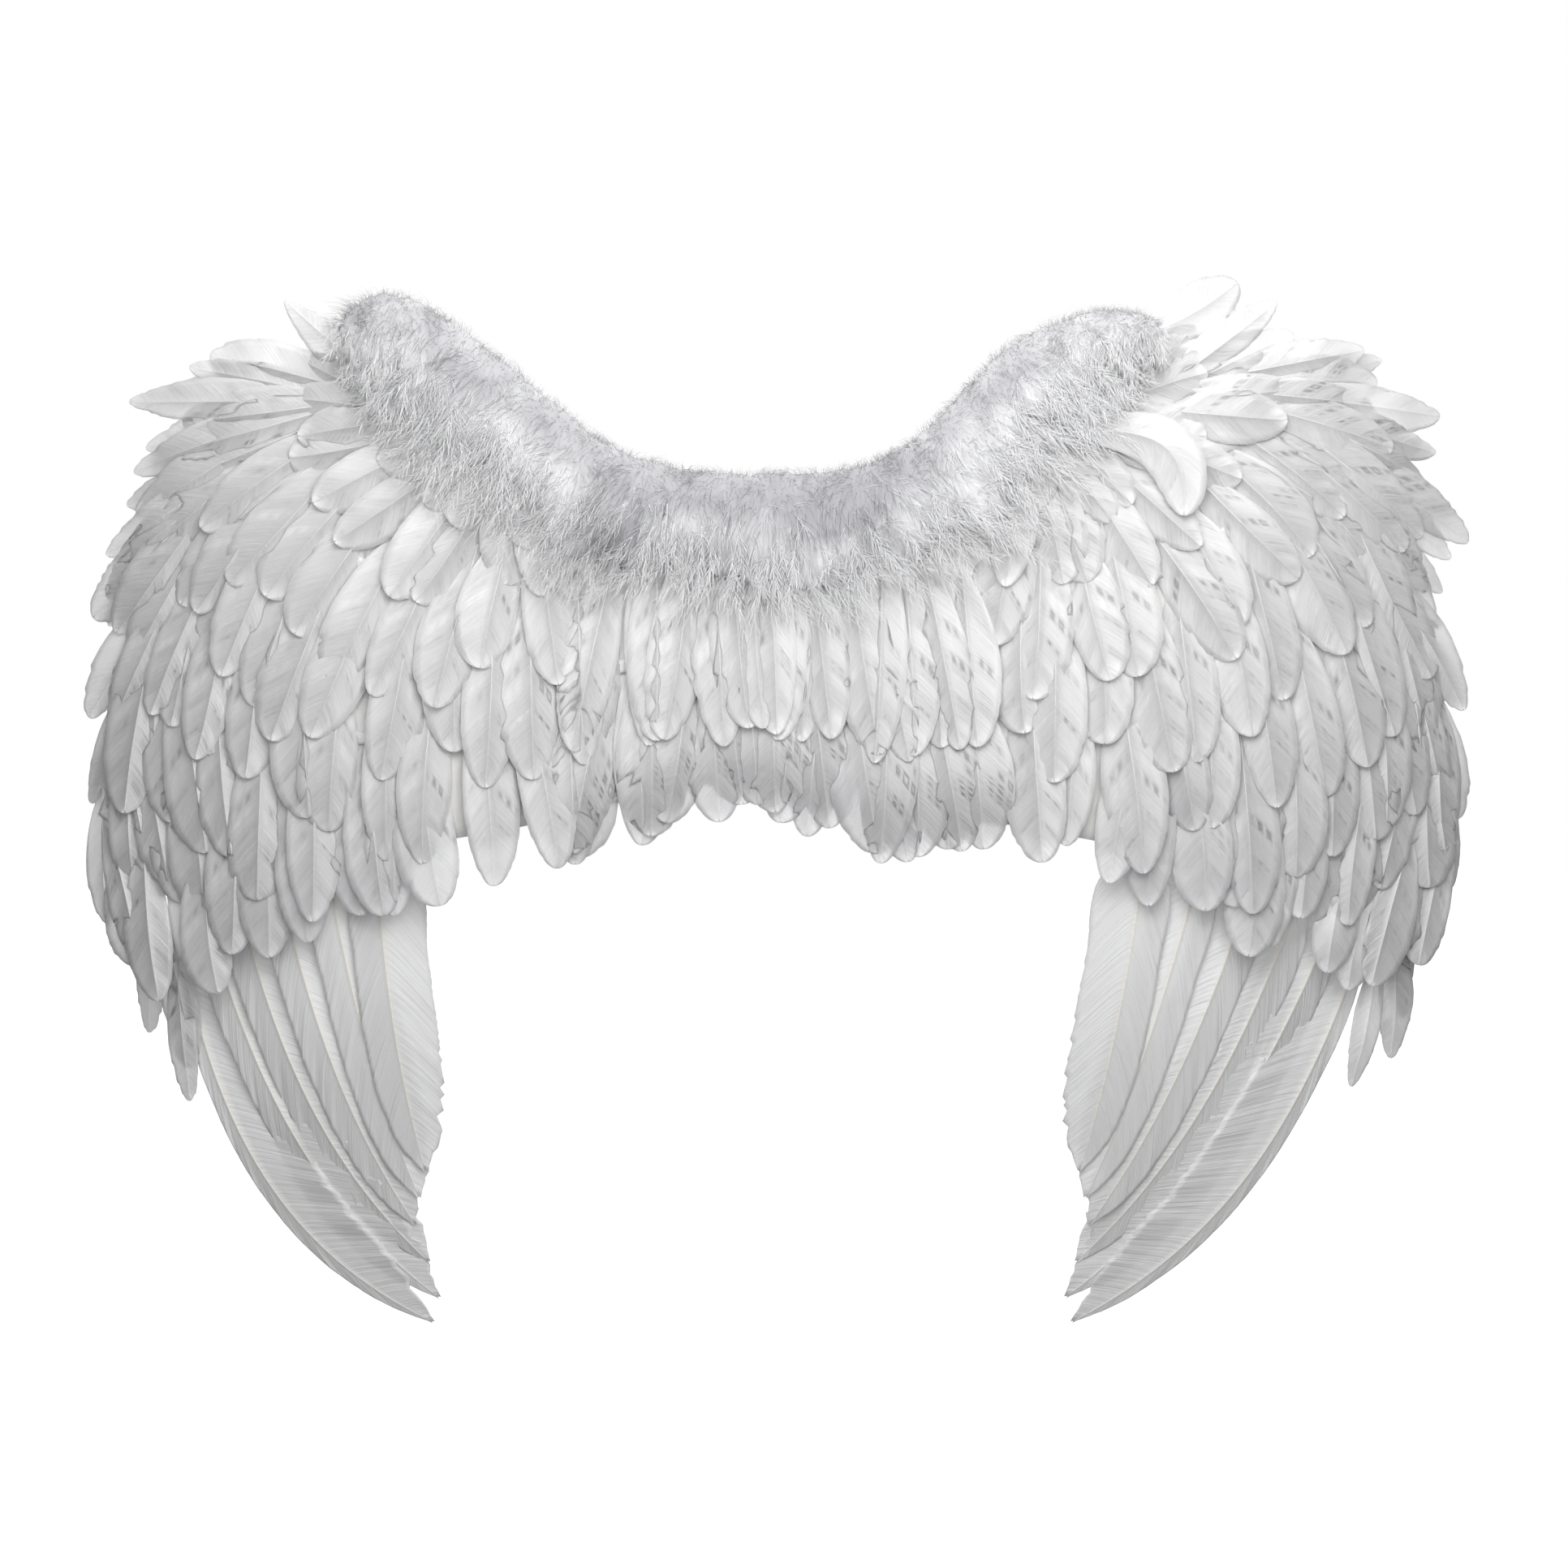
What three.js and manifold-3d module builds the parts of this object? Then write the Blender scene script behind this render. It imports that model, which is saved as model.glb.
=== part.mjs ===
// Feathered costume wings: a felt backing panel that carries rows of white covert feathers, long flight
// feathers behind its lower edge, a fluffy marabou trim along the neckline and two elastic shoulder straps.
// Millimetres. +Z is up, -Y is the feathered face, +Y is the wearer's side, and the origin is the middle
// of the panel's back, where it lies between the wearer's shoulder blades.
import * as THREE from "three";
import { mergeVertices } from "three/addons/utils/BufferGeometryUtils.js";
import Module from "manifold-3d";

const wasm = await Module();
wasm.setup();

// Driving dimensions
const FELT = { thickness: 3, step: 26 };
const GAP = 0.6; // clearance between neighbouring pieces

// Each wing's covert feathers fan out from a point at its shoulder. reach scales how far, topReach adds to
// that along the top, and the flight columns spread, move and straighten the long feathers.
const WINGS = [
  {
    name: "left",
    side: -1,
    seed: 11,
    shoulderX: 150,
    shoulderZ: 160,
    reach: 1,
    topReach: 0,
    flightSpread: 1,
    flightTip: 0,
    flightBow: 1,
  },
  {
    name: "right",
    side: 1,
    seed: 57,
    shoulderX: 158,
    shoulderZ: 167,
    reach: 1.01,
    topReach: 0.09,
    flightSpread: 1.14,
    flightTip: -21,
    flightBow: 0.82,
  },
];
const TOP_REACH_DEG = 30; // the top ends at this angle

// How the whole panel is bowed: it swells towards -Y over each shoulder, rolls back at the outer edge and
// leans back below the waist.
const FORM = {
  swell: 16,
  swellFrom: 50,
  swellTo: 230,
  rollFrom: 250,
  rollTo: 430,
  roll: 52,
  leanFrom: -100,
  leanTo: -400,
  lean: 26,
};

// Panel outline, one row for each station out from the middle
const PANEL_STATIONS = [
  { x: 0, top: 92, bottom: -78 },
  { x: 60, top: 93, bottom: -84 },
  { x: 110, top: 108, bottom: -98 },
  { x: 155, top: 142, bottom: -110 },
  { x: 200, top: 174, bottom: -118 },
  { x: 250, top: 184, bottom: -132 },
  { x: 300, top: 168, bottom: -146 },
  { x: 345, top: 124, bottom: -154 },
  { x: 380, top: 62, bottom: -148 },
  { x: 408, top: -24, bottom: -116 },
];

// Covert tiers, from the shoulder outwards. Tips stand on an arc about the shoulder, from one angle to the
// other, where 0 degrees points outwards and 90 down. The arc's radius is outer at its start, mid half way
// and inner at its end. base is how far a tier's tape lies in front of the panel.
const TIERS = [
  { outer: 100, mid: 102, inner: 92, fromDeg: -18, toDeg: 88, count: 6, length: 74, width: 34, base: 2.6 },
  { outer: 152, mid: 146, inner: 126, fromDeg: -16, toDeg: 98, count: 9, length: 92, width: 37, base: 0 },
  { outer: 196, mid: 210, inner: 176, fromDeg: -7, toDeg: 95, count: 12, length: 98, width: 39, base: 0 },
  { outer: 240, mid: 254, inner: 228, fromDeg: 4, toDeg: 92, count: 13, length: 110, width: 39, base: 0 },
  { outer: 282, mid: 306, inner: 288, fromDeg: 20, toDeg: 91, count: 13, length: 110, width: 39, base: 0 },
  { outer: 331, mid: 348, inner: 322, fromDeg: 36, toDeg: 79, count: 9, length: 104, width: 38, base: 0 },
  { outer: 373, mid: 386, inner: 366, fromDeg: 45, toDeg: 69, count: 6, length: 98, width: 36, base: 0 },
  { outer: 404, mid: 426, inner: 411, fromDeg: 51, toDeg: 64, count: 4, length: 90, width: 33, base: 0 },
];
const SPLAY = { deg: 16, until: 0.25 }; // outer feathers of a tier stand further out
const OUTER_VANE = { share: 0.8, until: 0.3 }; // and are narrower

// Narrow feathers that wrap the outer edge, sewn on behind the panel. Their tips stand at these radii.
const EDGE_ROW = { count: 10, length: 84, width: 22, sinkFrom: 0.5, sink: 2.5 };
const EDGE_TIPS = [
  { deg: -2, radius: 210 },
  { deg: 12, radius: 252 },
  { deg: 28, radius: 299 },
  { deg: 41, radius: 348 },
  { deg: 50, radius: 393 },
  { deg: 58, radius: 442 },
  { deg: 64, radius: 479 },
];

// Centre rows, which run straight across, span to each side; roots and tips drop towards the ends
const CENTRE_ROWS = [
  { name: "upper", span: 128, rootMid: 82, rootEnd: 50, tipMid: -56, tipEnd: -66, count: 11, width: 35 },
  { name: "lower", span: 132, rootMid: 6, rootEnd: -24, tipMid: -101, tipEnd: -131, count: 11, width: 36 },
];
const CENTRE_ARCH = { x: -20, halfWidth: 90, fanDeg: 5 };

// One feather that stands up out of the right shoulder
const STRAY = { root: [214, 184], tip: [286, 224], bow: -4, width: 31, rootDepth: 2.4, slope: 0.03 };

// Flight feathers of one wing, from the inner one to the leading one. x is counted outwards.
const FLIGHTS = [
  { rootX: 244, rootZ: -88, tipX: 212, tipZ: -322, bow: 6, outerVane: 19, innerVane: 26 },
  { rootX: 279, rootZ: -92, tipX: 216, tipZ: -339, bow: 7, outerVane: 17, innerVane: 27 },
  { rootX: 312, rootZ: -98, tipX: 219, tipZ: -356, bow: 13, outerVane: 16, innerVane: 28 },
  { rootX: 341, rootZ: -106, tipX: 211, tipZ: -380, bow: 23, outerVane: 15, innerVane: 30 },
  { rootX: 364, rootZ: -118, tipX: 205, tipZ: -403, bow: 28, outerVane: 13, innerVane: 32 },
  { rootX: 380, rootZ: -132, tipX: 209, tipZ: -419, bow: 43, outerVane: 8, innerVane: 34 },
];
const FLIGHT_MIDDLE = 308; // the spread of the roots is about this x
const FLIGHT_STACK = { start: 1.4, step: 2.3 }; // how far behind the panel, each one over the next outer one

const FEATHER = {
  shaftThickness: 1.1,
  slope: 0.12, // rise per length, so that each tier lies over the next
  rootDepth: 1.3,
  lift: 1.7, // every second feather of a row lies over its two neighbours
  liftBy: 0.3, // share of the length where it is fully lifted
  edgeDroop: 0.3,
  lateBow: 1.25, // above 1 puts the deepest bow beyond the middle
};
// Blade outline, one row for each section from quill to tip
const COVERT_SECTIONS = [
  { at: 0, share: 0 },
  { at: 0.32, share: 0.78 },
  { at: 0.7, share: 1 },
  { at: 0.9, share: 0.7 },
  { at: 1, share: 0 },
];
const FLIGHT_SECTIONS = [
  { at: 0, share: 0 },
  { at: 0.12, share: 0.2 },
  { at: 0.22, share: 0.88 },
  { at: 0.44, share: 1 },
  { at: 0.65, share: 1 },
  { at: 0.82, share: 0.86 },
  { at: 0.93, share: 0.54 },
  { at: 1, share: 0 },
];
const LOOSE = { turnDeg: 4, stretch: 0.06, bow: 2 }; // how unevenly the feathers lie
const QUILL_TAPE = { width: 8, thickness: 1.4, spare: 6 };

const TWIST = { perMm: 0.22, fromRadius: 165, fadeDeg: 95, fadeSpan: 45 }; // how feathers turn downwards

// Marabou trim: its centre line, the lengths it is sewn on in, its core and the locks on that
const TRIM_LINE = [
  { x: -260, z: 192 },
  { x: -226, z: 188 },
  { x: -192, z: 167 },
  { x: -152, z: 135 },
  { x: -108, z: 102 },
  { x: -60, z: 86 },
  { x: 0, z: 82 },
  { x: 60, z: 87 },
  { x: 103, z: 108 },
  { x: 138, z: 142 },
  { x: 166, z: 169 },
  { x: 202, z: 188 },
  { x: 236, z: 193 },
];
const TRIM_LENGTHS = [
  { name: "left", from: 0, to: 4 },
  { name: "centre", from: 4.07, to: 7.93 },
  { name: "right", from: 8, to: 12 },
];
const TRIM = { halfHeight: 27, front: 34, back: 9.5, sections: 6, sides: 8, roundEnd: 0.7 };
const TRIM_LOCKS = {
  along: 4,
  aroundDeg: [20, 110, 290],
  rootShare: 0.8,
  reach: 9,
  halfAngle: 18,
  halfLength: 10,
};

// Shoulder straps: flat elastic sewn to the panel's back, each in a loop that an arm goes through
const STRAP = { x: 80, width: 22, thickness: 2, halfHeight: 66, reach: 112, tab: 16, steps: 12 };

const COLOURS = { feather: 0xf1f1f2, flight: 0xe6e6e8, marabou: 0xdcdcdf, felt: 0xf0efec, elastic: 0xf4f4f4 };

// Small helpers
const lerp = (a, b, f) => a + (b - a) * f;
const radians = THREE.MathUtils.degToRad;
const smooth = (low, high, v) => THREE.MathUtils.smoothstep(v, low, high);

// A repeatable scatter between -1 and 1
function scatter(n) {
  const v = Math.sin(n * 12.9898) * 43758.5453;
  return (v - Math.floor(v)) * 2 - 1;
}

// Height of the panel's front face along Y
function surfaceY(x, z) {
  const out = Math.abs(x);
  const swell = FORM.swell * smooth(FORM.swellFrom, FORM.swellTo, out);
  const roll = FORM.roll * Math.max(0, (out - FORM.rollFrom) / (FORM.rollTo - FORM.rollFrom)) ** 2;
  const lean = FORM.lean * Math.max(0, (z - FORM.leanFrom) / (FORM.leanTo - FORM.leanFrom)) ** 2;
  return roll + lean - swell - FELT.thickness;
}

// A point at a depth in front of the panel's face
const place = (x, z, depth) => new THREE.Vector3(x, surfaceY(x, z) - depth, z);

// Skin through rings of points; a ring of one point closes that end, and other ends are capped flat. The
// diagonals alternate round a ring, so a blade's front and back are split alike and never cross.
function loft(rings) {
  const points = rings.flat();
  const starts = rings.map((_, k) => rings.slice(0, k).reduce((n, ring) => n + ring.length, 0));
  const faces = [];
  for (let k = 0; k + 1 < rings.length; k += 1) {
    const [a, b] = [starts[k], starts[k + 1]];
    const [na, nb] = [rings[k].length, rings[k + 1].length];
    for (let i = 0; i < Math.max(na, nb); i += 1) {
      const j = i + 1;
      const [start, end] = i % 2 ? [i, j] : [j, i];
      if (na > 1) faces.push([a + (i % na), a + (j % na), b + (end % nb)]);
      if (nb > 1) faces.push([a + (start % na), b + (j % nb), b + (i % nb)]);
    }
  }
  const last = rings.length - 1;
  for (let i = 1; i + 1 < rings[0].length; i += 1) faces.push([0, i + 1, i]);
  for (let i = 1; i + 1 < rings[last].length; i += 1) {
    faces.push([starts[last], starts[last] + i, starts[last] + i + 1]);
  }
  const geometry = new THREE.BufferGeometry();
  geometry.setAttribute("position", new THREE.Float32BufferAttribute(points.flatMap((p) => p.toArray()), 3));
  geometry.setIndex(faces.flat());
  return geometry;
}

// A closed geometry as a manifold solid with its faces outwards
function solidOf(geometry) {
  const merged = mergeVertices(geometry, 1e-4);
  const triVerts = new Uint32Array(merged.index.array);
  const vertProperties = merged.attributes.position.array;
  const solid = new wasm.Manifold(new wasm.Mesh({ numProp: 3, vertProperties, triVerts }));
  if (solid.volume() > 0) return solid;
  return new wasm.Manifold(new wasm.Mesh({ numProp: 3, vertProperties, triVerts: triVerts.reverse() }));
}

// Several closed geometries joined into one body
function fuse(geometries) {
  const joined = geometries.map(solidOf).reduce((whole, piece) => whole.add(piece));
  const { vertProperties, triVerts, numProp } = joined.getMesh();
  const geometry = new THREE.BufferGeometry();
  const positions = [];
  for (let i = 0; i < vertProperties.length; i += numProp) positions.push(...vertProperties.slice(i, i + 3));
  geometry.setAttribute("position", new THREE.Float32BufferAttribute(positions, 3));
  geometry.setIndex([...triVerts]);
  return geometry;
}

function mesh(name, geometry, color, roughness) {
  const made = new THREE.Mesh(geometry, new THREE.MeshStandardMaterial({ color, roughness, metalness: 0 }));
  made.name = name;
  return made;
}

// One feather: a ridged blade along a bowed shaft. depthAt gives the shaft's depth at a point and lift
// raises the blade over its neighbours.
function feather({ root, tip, bow, plusVane, minusVane, sections, depthAt, lift }) {
  const shaft = new THREE.Vector2(tip[0] - root[0], tip[1] - root[1]);
  const length = shaft.length();
  const across = new THREE.Vector2(-shaft.y, shaft.x).divideScalar(length);
  const half = FEATHER.shaftThickness / 2;
  return loft(
    sections.map(({ at, share }) => {
      const late = at ** FEATHER.lateBow;
      const sag = 4 * bow * late * (1 - late);
      const x = lerp(root[0], tip[0], at) + across.x * sag;
      const z = lerp(root[1], tip[1], at) + across.y * sag;
      const rise = lift * Math.min(1, at / FEATHER.liftBy);
      const on = (side, extra) => {
        const [px, pz] = [x + across.x * side * share, z + across.y * side * share];
        return place(px, pz, depthAt(px, pz) + rise + extra);
      };
      if (share === 0) return [on(0, 0)];
      const droop = -FEATHER.edgeDroop;
      return [on(plusVane, droop), on(0, half), on(-minusVane, droop), on(0, -half)];
    }),
  );
}

// The tape that a row's quills are sewn to, through root points and a little beyond them
function quillTape(roots, depthOf) {
  const points = roots.map(([x, z]) => new THREE.Vector2(x, z));
  const beyond = (end, next) => end.clone().add(end.clone().sub(next).setLength(QUILL_TAPE.spare));
  points.unshift(beyond(points[0], points[1]));
  points.push(beyond(points.at(-1), points.at(-2)));
  return loft(
    points.map((p, i) => {
      const run = points[Math.min(i + 1, points.length - 1)].clone().sub(points[Math.max(i - 1, 0)]);
      const side = new THREE.Vector2(-run.y, run.x).setLength(QUILL_TAPE.width / 2);
      const low = depthOf(THREE.MathUtils.clamp(i - 1, 0, roots.length - 1));
      const high = low + QUILL_TAPE.thickness;
      return [
        place(p.x + side.x, p.y + side.y, low),
        place(p.x + side.x, p.y + side.y, high),
        place(p.x - side.x, p.y - side.y, high),
        place(p.x - side.x, p.y - side.y, low),
      ];
    }),
  );
}

// Radius of a tier's tips at a share of its arc
function tipRadius(tier, f) {
  const pull = 2 * tier.mid - (tier.outer + tier.inner) / 2;
  return (1 - f) ** 2 * tier.outer + 2 * f * (1 - f) * pull + f ** 2 * tier.inner;
}

// The way a feather points, in degrees below the outward direction
function pointing(deg, radius, share) {
  const fade = THREE.MathUtils.clamp((TWIST.fadeDeg - deg) / TWIST.fadeSpan, 0, 1);
  const splay = SPLAY.deg * (1 - smooth(0, SPLAY.until, share));
  return deg + TWIST.perMm * (radius - TWIST.fromRadius) * fade - splay;
}

// Root and tip of a feather whose tip stands at an angle and radius about a wing's shoulder, turned and
// stretched a little about its root
function fanned(wing, deg, radius, share, length, key) {
  const along = (angle, size) => {
    const turned = radians(angle);
    return [wing.side * Math.cos(turned) * size, -Math.sin(turned) * size];
  };
  const point = pointing(deg, radius, share);
  const reach = wing.reach + wing.topReach * (1 - smooth(0, TOP_REACH_DEG, deg));
  const [ox, oz] = along(deg, radius * reach);
  const [dx, dz] = along(point, length);
  const size = length * (1 + LOOSE.stretch * scatter(key + 1));
  const [tx, tz] = along(point + LOOSE.turnDeg * scatter(key), size);
  const root = [wing.side * wing.shoulderX + ox - dx, wing.shoulderZ + oz - dz];
  return { root, tip: [root[0] + tx, root[1] + tz] };
}

// Depth that rises with the distance from the shoulder beyond a root
function fanDepth(wing, root, base) {
  const distance = (x, z) => Math.hypot(x - wing.side * wing.shoulderX, z - wing.shoulderZ);
  const rise = (x, z) => Math.max(0, distance(x, z) - distance(...root));
  return (x, z) => base + FEATHER.rootDepth + FEATHER.slope * rise(x, z);
}

// A row of feathers with its tape, as one body
function row(name, blades, tapeDepth) {
  const tape = quillTape(blades.map(({ root }) => root), tapeDepth);
  return mesh(name, fuse([tape, ...blades.map(feather)]), COLOURS.feather, 0.5);
}

function covertRow(wing, tier, number) {
  const blades = Array.from({ length: tier.count }, (_, i) => {
    const f = i / (tier.count - 1);
    const key = wing.seed + number * 100 + i * 7;
    const deg = lerp(tier.fromDeg, tier.toDeg, f);
    const { root, tip } = fanned(wing, deg, tipRadius(tier, f), f, tier.length, key);
    const vane = (tier.width / 2) * lerp(OUTER_VANE.share, 1, smooth(0, OUTER_VANE.until, f));
    return {
      root,
      tip,
      bow: LOOSE.bow * scatter(key + 2),
      plusVane: vane,
      minusVane: vane,
      sections: COVERT_SECTIONS,
      depthAt: fanDepth(wing, root, tier.base),
      lift: (i % 2) * FEATHER.lift,
    };
  });
  return row(`covert_row_${wing.name}_${number}`, blades, () => GAP + tier.base);
}

// The narrow feathers behind the outer edge; the lower ones sink a little further back
function edgeRow(wing) {
  const blades = Array.from({ length: EDGE_ROW.count }, (_, i) => {
    const f = i / (EDGE_ROW.count - 1);
    const key = wing.seed + 900 + i * 7;
    const at = Math.min(f * (EDGE_TIPS.length - 1), EDGE_TIPS.length - 1.001);
    const [low, high] = [EDGE_TIPS[Math.floor(at)], EDGE_TIPS[Math.floor(at) + 1]];
    const deg = lerp(low.deg, high.deg, at % 1);
    const radius = lerp(low.radius, high.radius, at % 1);
    const { root, tip } = fanned(wing, deg, radius, 0, EDGE_ROW.length, key);
    const depth = -FELT.thickness - FEATHER.rootDepth - EDGE_ROW.sink * smooth(EDGE_ROW.sinkFrom, 1, f);
    return {
      root,
      tip,
      bow: LOOSE.bow * scatter(key + 2),
      plusVane: EDGE_ROW.width / 2,
      minusVane: EDGE_ROW.width / 2,
      sections: COVERT_SECTIONS,
      depthAt: () => depth,
      lift: -(i % 2) * FEATHER.lift,
    };
  });
  const tapeDepth = (i) => blades[i].depthAt() - QUILL_TAPE.thickness / 2;
  return row(`edge_row_${wing.name}`, blades, tapeDepth);
}

function centreRow({ name, span, rootMid, rootEnd, tipMid, tipEnd, count, width }) {
  const blades = Array.from({ length: count }, (_, i) => {
    const f = (2 * i) / (count - 1) - 1;
    const key = name.length * 31 + i * 7;
    const drop = smooth(0, CENTRE_ARCH.halfWidth, Math.abs(span * f - CENTRE_ARCH.x));
    const rootZ = lerp(rootMid, rootEnd, f ** 2);
    const length = rootZ - lerp(tipMid, tipEnd, drop);
    const lean = radians(CENTRE_ARCH.fanDeg * f);
    const turn = lean + radians(LOOSE.turnDeg * scatter(key));
    const size = length * (1 + LOOSE.stretch * scatter(key + 1));
    const root = [span * f - Math.sin(lean) * length, rootZ];
    return {
      root,
      tip: [root[0] + Math.sin(turn) * size, root[1] - Math.cos(turn) * size],
      bow: LOOSE.bow * scatter(key + 2),
      plusVane: width / 2,
      minusVane: width / 2,
      sections: COVERT_SECTIONS,
      depthAt: (x, z) => FEATHER.rootDepth + FEATHER.slope * Math.max(0, rootZ - z),
      lift: ((i + 1) % 2) * FEATHER.lift,
    };
  });
  return row(`centre_row_${name}`, blades, () => GAP);
}

// One long flight feather; number counts from the inner one
function flightFeather(wing, size, number) {
  const back = FLIGHT_STACK.start + number * FLIGHT_STACK.step;
  const outer = wing.side > 0 ? "plusVane" : "minusVane";
  const inner = wing.side > 0 ? "minusVane" : "plusVane";
  const blade = feather({
    root: [wing.side * (FLIGHT_MIDDLE + wing.flightSpread * (size.rootX - FLIGHT_MIDDLE)), size.rootZ],
    tip: [wing.side * (size.tipX + wing.flightTip), size.tipZ],
    bow: wing.side * wing.flightBow * size.bow,
    [outer]: size.outerVane,
    [inner]: size.innerVane,
    sections: FLIGHT_SECTIONS,
    depthAt: () => -FELT.thickness - back,
    lift: 0,
  });
  return mesh(`flight_feather_${wing.name}_${number + 1}`, fuse([blade]), COLOURS.flight, 0.5);
}

function strayFeather({ root, tip, bow, width, rootDepth, slope }) {
  const blade = feather({
    root,
    tip,
    bow,
    plusVane: width / 2,
    minusVane: width / 2,
    sections: COVERT_SECTIONS,
    depthAt: (x, z) => rootDepth + slope * Math.hypot(x - root[0], z - root[1]),
    lift: 0,
  });
  return mesh("covert_stray_right", fuse([blade]), COLOURS.feather, 0.5);
}

// Top and bottom of the panel at a distance out from the middle
function panelEdge(out, key) {
  const points = PANEL_STATIONS.map((row) => new THREE.Vector2(row.x, row[key]));
  const at = Math.max(1, points.findIndex((p) => p.x >= out));
  const share = (out - points[at - 1].x) / (points[at].x - points[at - 1].x);
  return new THREE.SplineCurve(points).getPoint((at - 1 + share) / (points.length - 1)).y;
}

function panel() {
  const widest = PANEL_STATIONS.at(-1).x;
  const count = 2 * Math.round(widest / FELT.step);
  const rings = Array.from({ length: count + 1 }, (_, i) => {
    const x = lerp(-widest, widest, i / count);
    const top = panelEdge(Math.abs(x), "top");
    const bottom = panelEdge(Math.abs(x), "bottom");
    const middle = Math.max(FORM.leanFrom, (top + bottom) / 2);
    const levels = [top, middle, bottom];
    return [
      ...levels.map((z) => place(x, z, 0)),
      ...levels.reverse().map((z) => place(x, z, -FELT.thickness)),
    ];
  });
  return mesh("backing_panel", fuse([loft(rings)]), COLOURS.felt, 0.9);
}

// One length of trim: a flattened core with rows of pointed locks
function trim({ name, from, to }) {
  const curve = new THREE.SplineCurve(TRIM_LINE.map(({ x, z }) => new THREE.Vector2(x, z)));
  const spans = TRIM_LINE.length - 1;
  const middle = (TRIM.front + TRIM.back) / 2;
  const halfDepth = (TRIM.front - TRIM.back) / 2;
  const sectionAt = (t) => {
    const p = curve.getPoint(lerp(from, to, t) / spans);
    const run = curve.getTangent(lerp(from, to, t) / spans);
    return (angle, share, shift) => {
      const up = Math.sin(angle) * TRIM.halfHeight * share;
      const depth = middle + Math.cos(angle) * halfDepth * share;
      return place(p.x - run.y * up + run.x * shift, p.y + run.x * up + run.y * shift, depth);
    };
  };
  const rings = Array.from({ length: TRIM.sections + 1 }, (_, i) => {
    const t = i / TRIM.sections;
    const free = (from === 0 && i === 0) || (to === spans && i === TRIM.sections);
    const at = sectionAt(t);
    const turn = (2 * Math.PI) / TRIM.sides;
    return Array.from({ length: TRIM.sides }, (__, k) => at(turn * k, free ? TRIM.roundEnd : 1, 0));
  });
  const locks = [];
  for (let i = 0; i < TRIM_LOCKS.along; i += 1) {
    TRIM_LOCKS.aroundDeg.forEach((deg, k) => {
      const at = sectionAt((i + 0.3 + 0.4 * (k % 2)) / TRIM_LOCKS.along);
      const [low, high] = [deg - TRIM_LOCKS.halfAngle, deg + TRIM_LOCKS.halfAngle].map(radians);
      const [deep, half] = [TRIM_LOCKS.rootShare, TRIM_LOCKS.halfLength];
      const foot = [at(low, deep, -half), at(high, deep, -half), at(high, deep, half), at(low, deep, half)];
      const tip = at(radians(deg), 1 + TRIM_LOCKS.reach / TRIM.halfHeight, half * scatter(i * 13 + k));
      locks.push(loft([foot, [tip]]));
    });
  }
  return mesh(`marabou_trim_${name}`, fuse([loft(rings), ...locks]), COLOURS.marabou, 0.95);
}

// One strap: a tab flat on the panel's back, a half oval out over the shoulder, and a second tab
function strap(wing) {
  const path = [new THREE.Vector2(0, STRAP.halfHeight + STRAP.tab)];
  for (let i = 0; i <= STRAP.steps; i += 1) {
    const angle = (Math.PI * i) / STRAP.steps;
    path.push(new THREE.Vector2(STRAP.reach * Math.sin(angle), STRAP.halfHeight * Math.cos(angle)));
  }
  path.push(new THREE.Vector2(0, -STRAP.halfHeight - STRAP.tab));
  const normal = (i) => {
    const run = path[Math.min(i + 1, path.length - 1)].clone().sub(path[Math.max(i - 1, 0)]).normalize();
    return new THREE.Vector2(-run.y, run.x).multiplyScalar(STRAP.thickness);
  };
  const rings = path.map((p, i) => {
    const outward = normal(i);
    const edges = [-0.5, 0.5].map((share) => wing.side * (STRAP.x + share * STRAP.width));
    const at = (x, out, z) => new THREE.Vector3(x, surfaceY(x, 0) + FELT.thickness + GAP + out, z);
    return [
      at(edges[0], p.x, p.y),
      at(edges[1], p.x, p.y),
      at(edges[1], p.x + outward.x, p.y + outward.y),
      at(edges[0], p.x + outward.x, p.y + outward.y),
    ];
  });
  return mesh(`shoulder_strap_${wing.name}`, fuse([loft(rings)]), COLOURS.elastic, 0.8);
}

const group = new THREE.Group();
group.add(panel());
WINGS.forEach((wing) => {
  TIERS.forEach((tier, k) => group.add(covertRow(wing, tier, k + 1)));
  FLIGHTS.forEach((size, k) => group.add(flightFeather(wing, size, k)));
  group.add(edgeRow(wing), strap(wing));
});
CENTRE_ROWS.forEach((size) => group.add(centreRow(size)));
group.add(strayFeather(STRAY));
TRIM_LENGTHS.forEach((size) => group.add(trim(size)));

export default group;
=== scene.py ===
import bpy
import numpy as np
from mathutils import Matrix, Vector


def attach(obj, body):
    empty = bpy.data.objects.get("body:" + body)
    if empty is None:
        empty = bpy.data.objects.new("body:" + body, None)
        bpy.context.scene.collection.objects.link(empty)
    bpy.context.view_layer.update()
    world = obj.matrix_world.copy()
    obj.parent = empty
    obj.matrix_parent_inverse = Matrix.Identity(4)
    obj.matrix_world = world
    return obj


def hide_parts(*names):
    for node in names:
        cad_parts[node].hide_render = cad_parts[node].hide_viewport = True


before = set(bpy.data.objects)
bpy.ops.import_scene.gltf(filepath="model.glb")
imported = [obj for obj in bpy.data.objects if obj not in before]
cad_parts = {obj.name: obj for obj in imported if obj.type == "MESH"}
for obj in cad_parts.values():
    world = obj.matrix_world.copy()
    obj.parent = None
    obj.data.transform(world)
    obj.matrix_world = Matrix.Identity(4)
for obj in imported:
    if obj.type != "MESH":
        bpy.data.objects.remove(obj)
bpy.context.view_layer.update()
mm = 0.001  # every size below is in millimetres, and a mesh is scaled by this once
uvUnit = 40  # millimetres of a surface to one unit of its UV map


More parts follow.
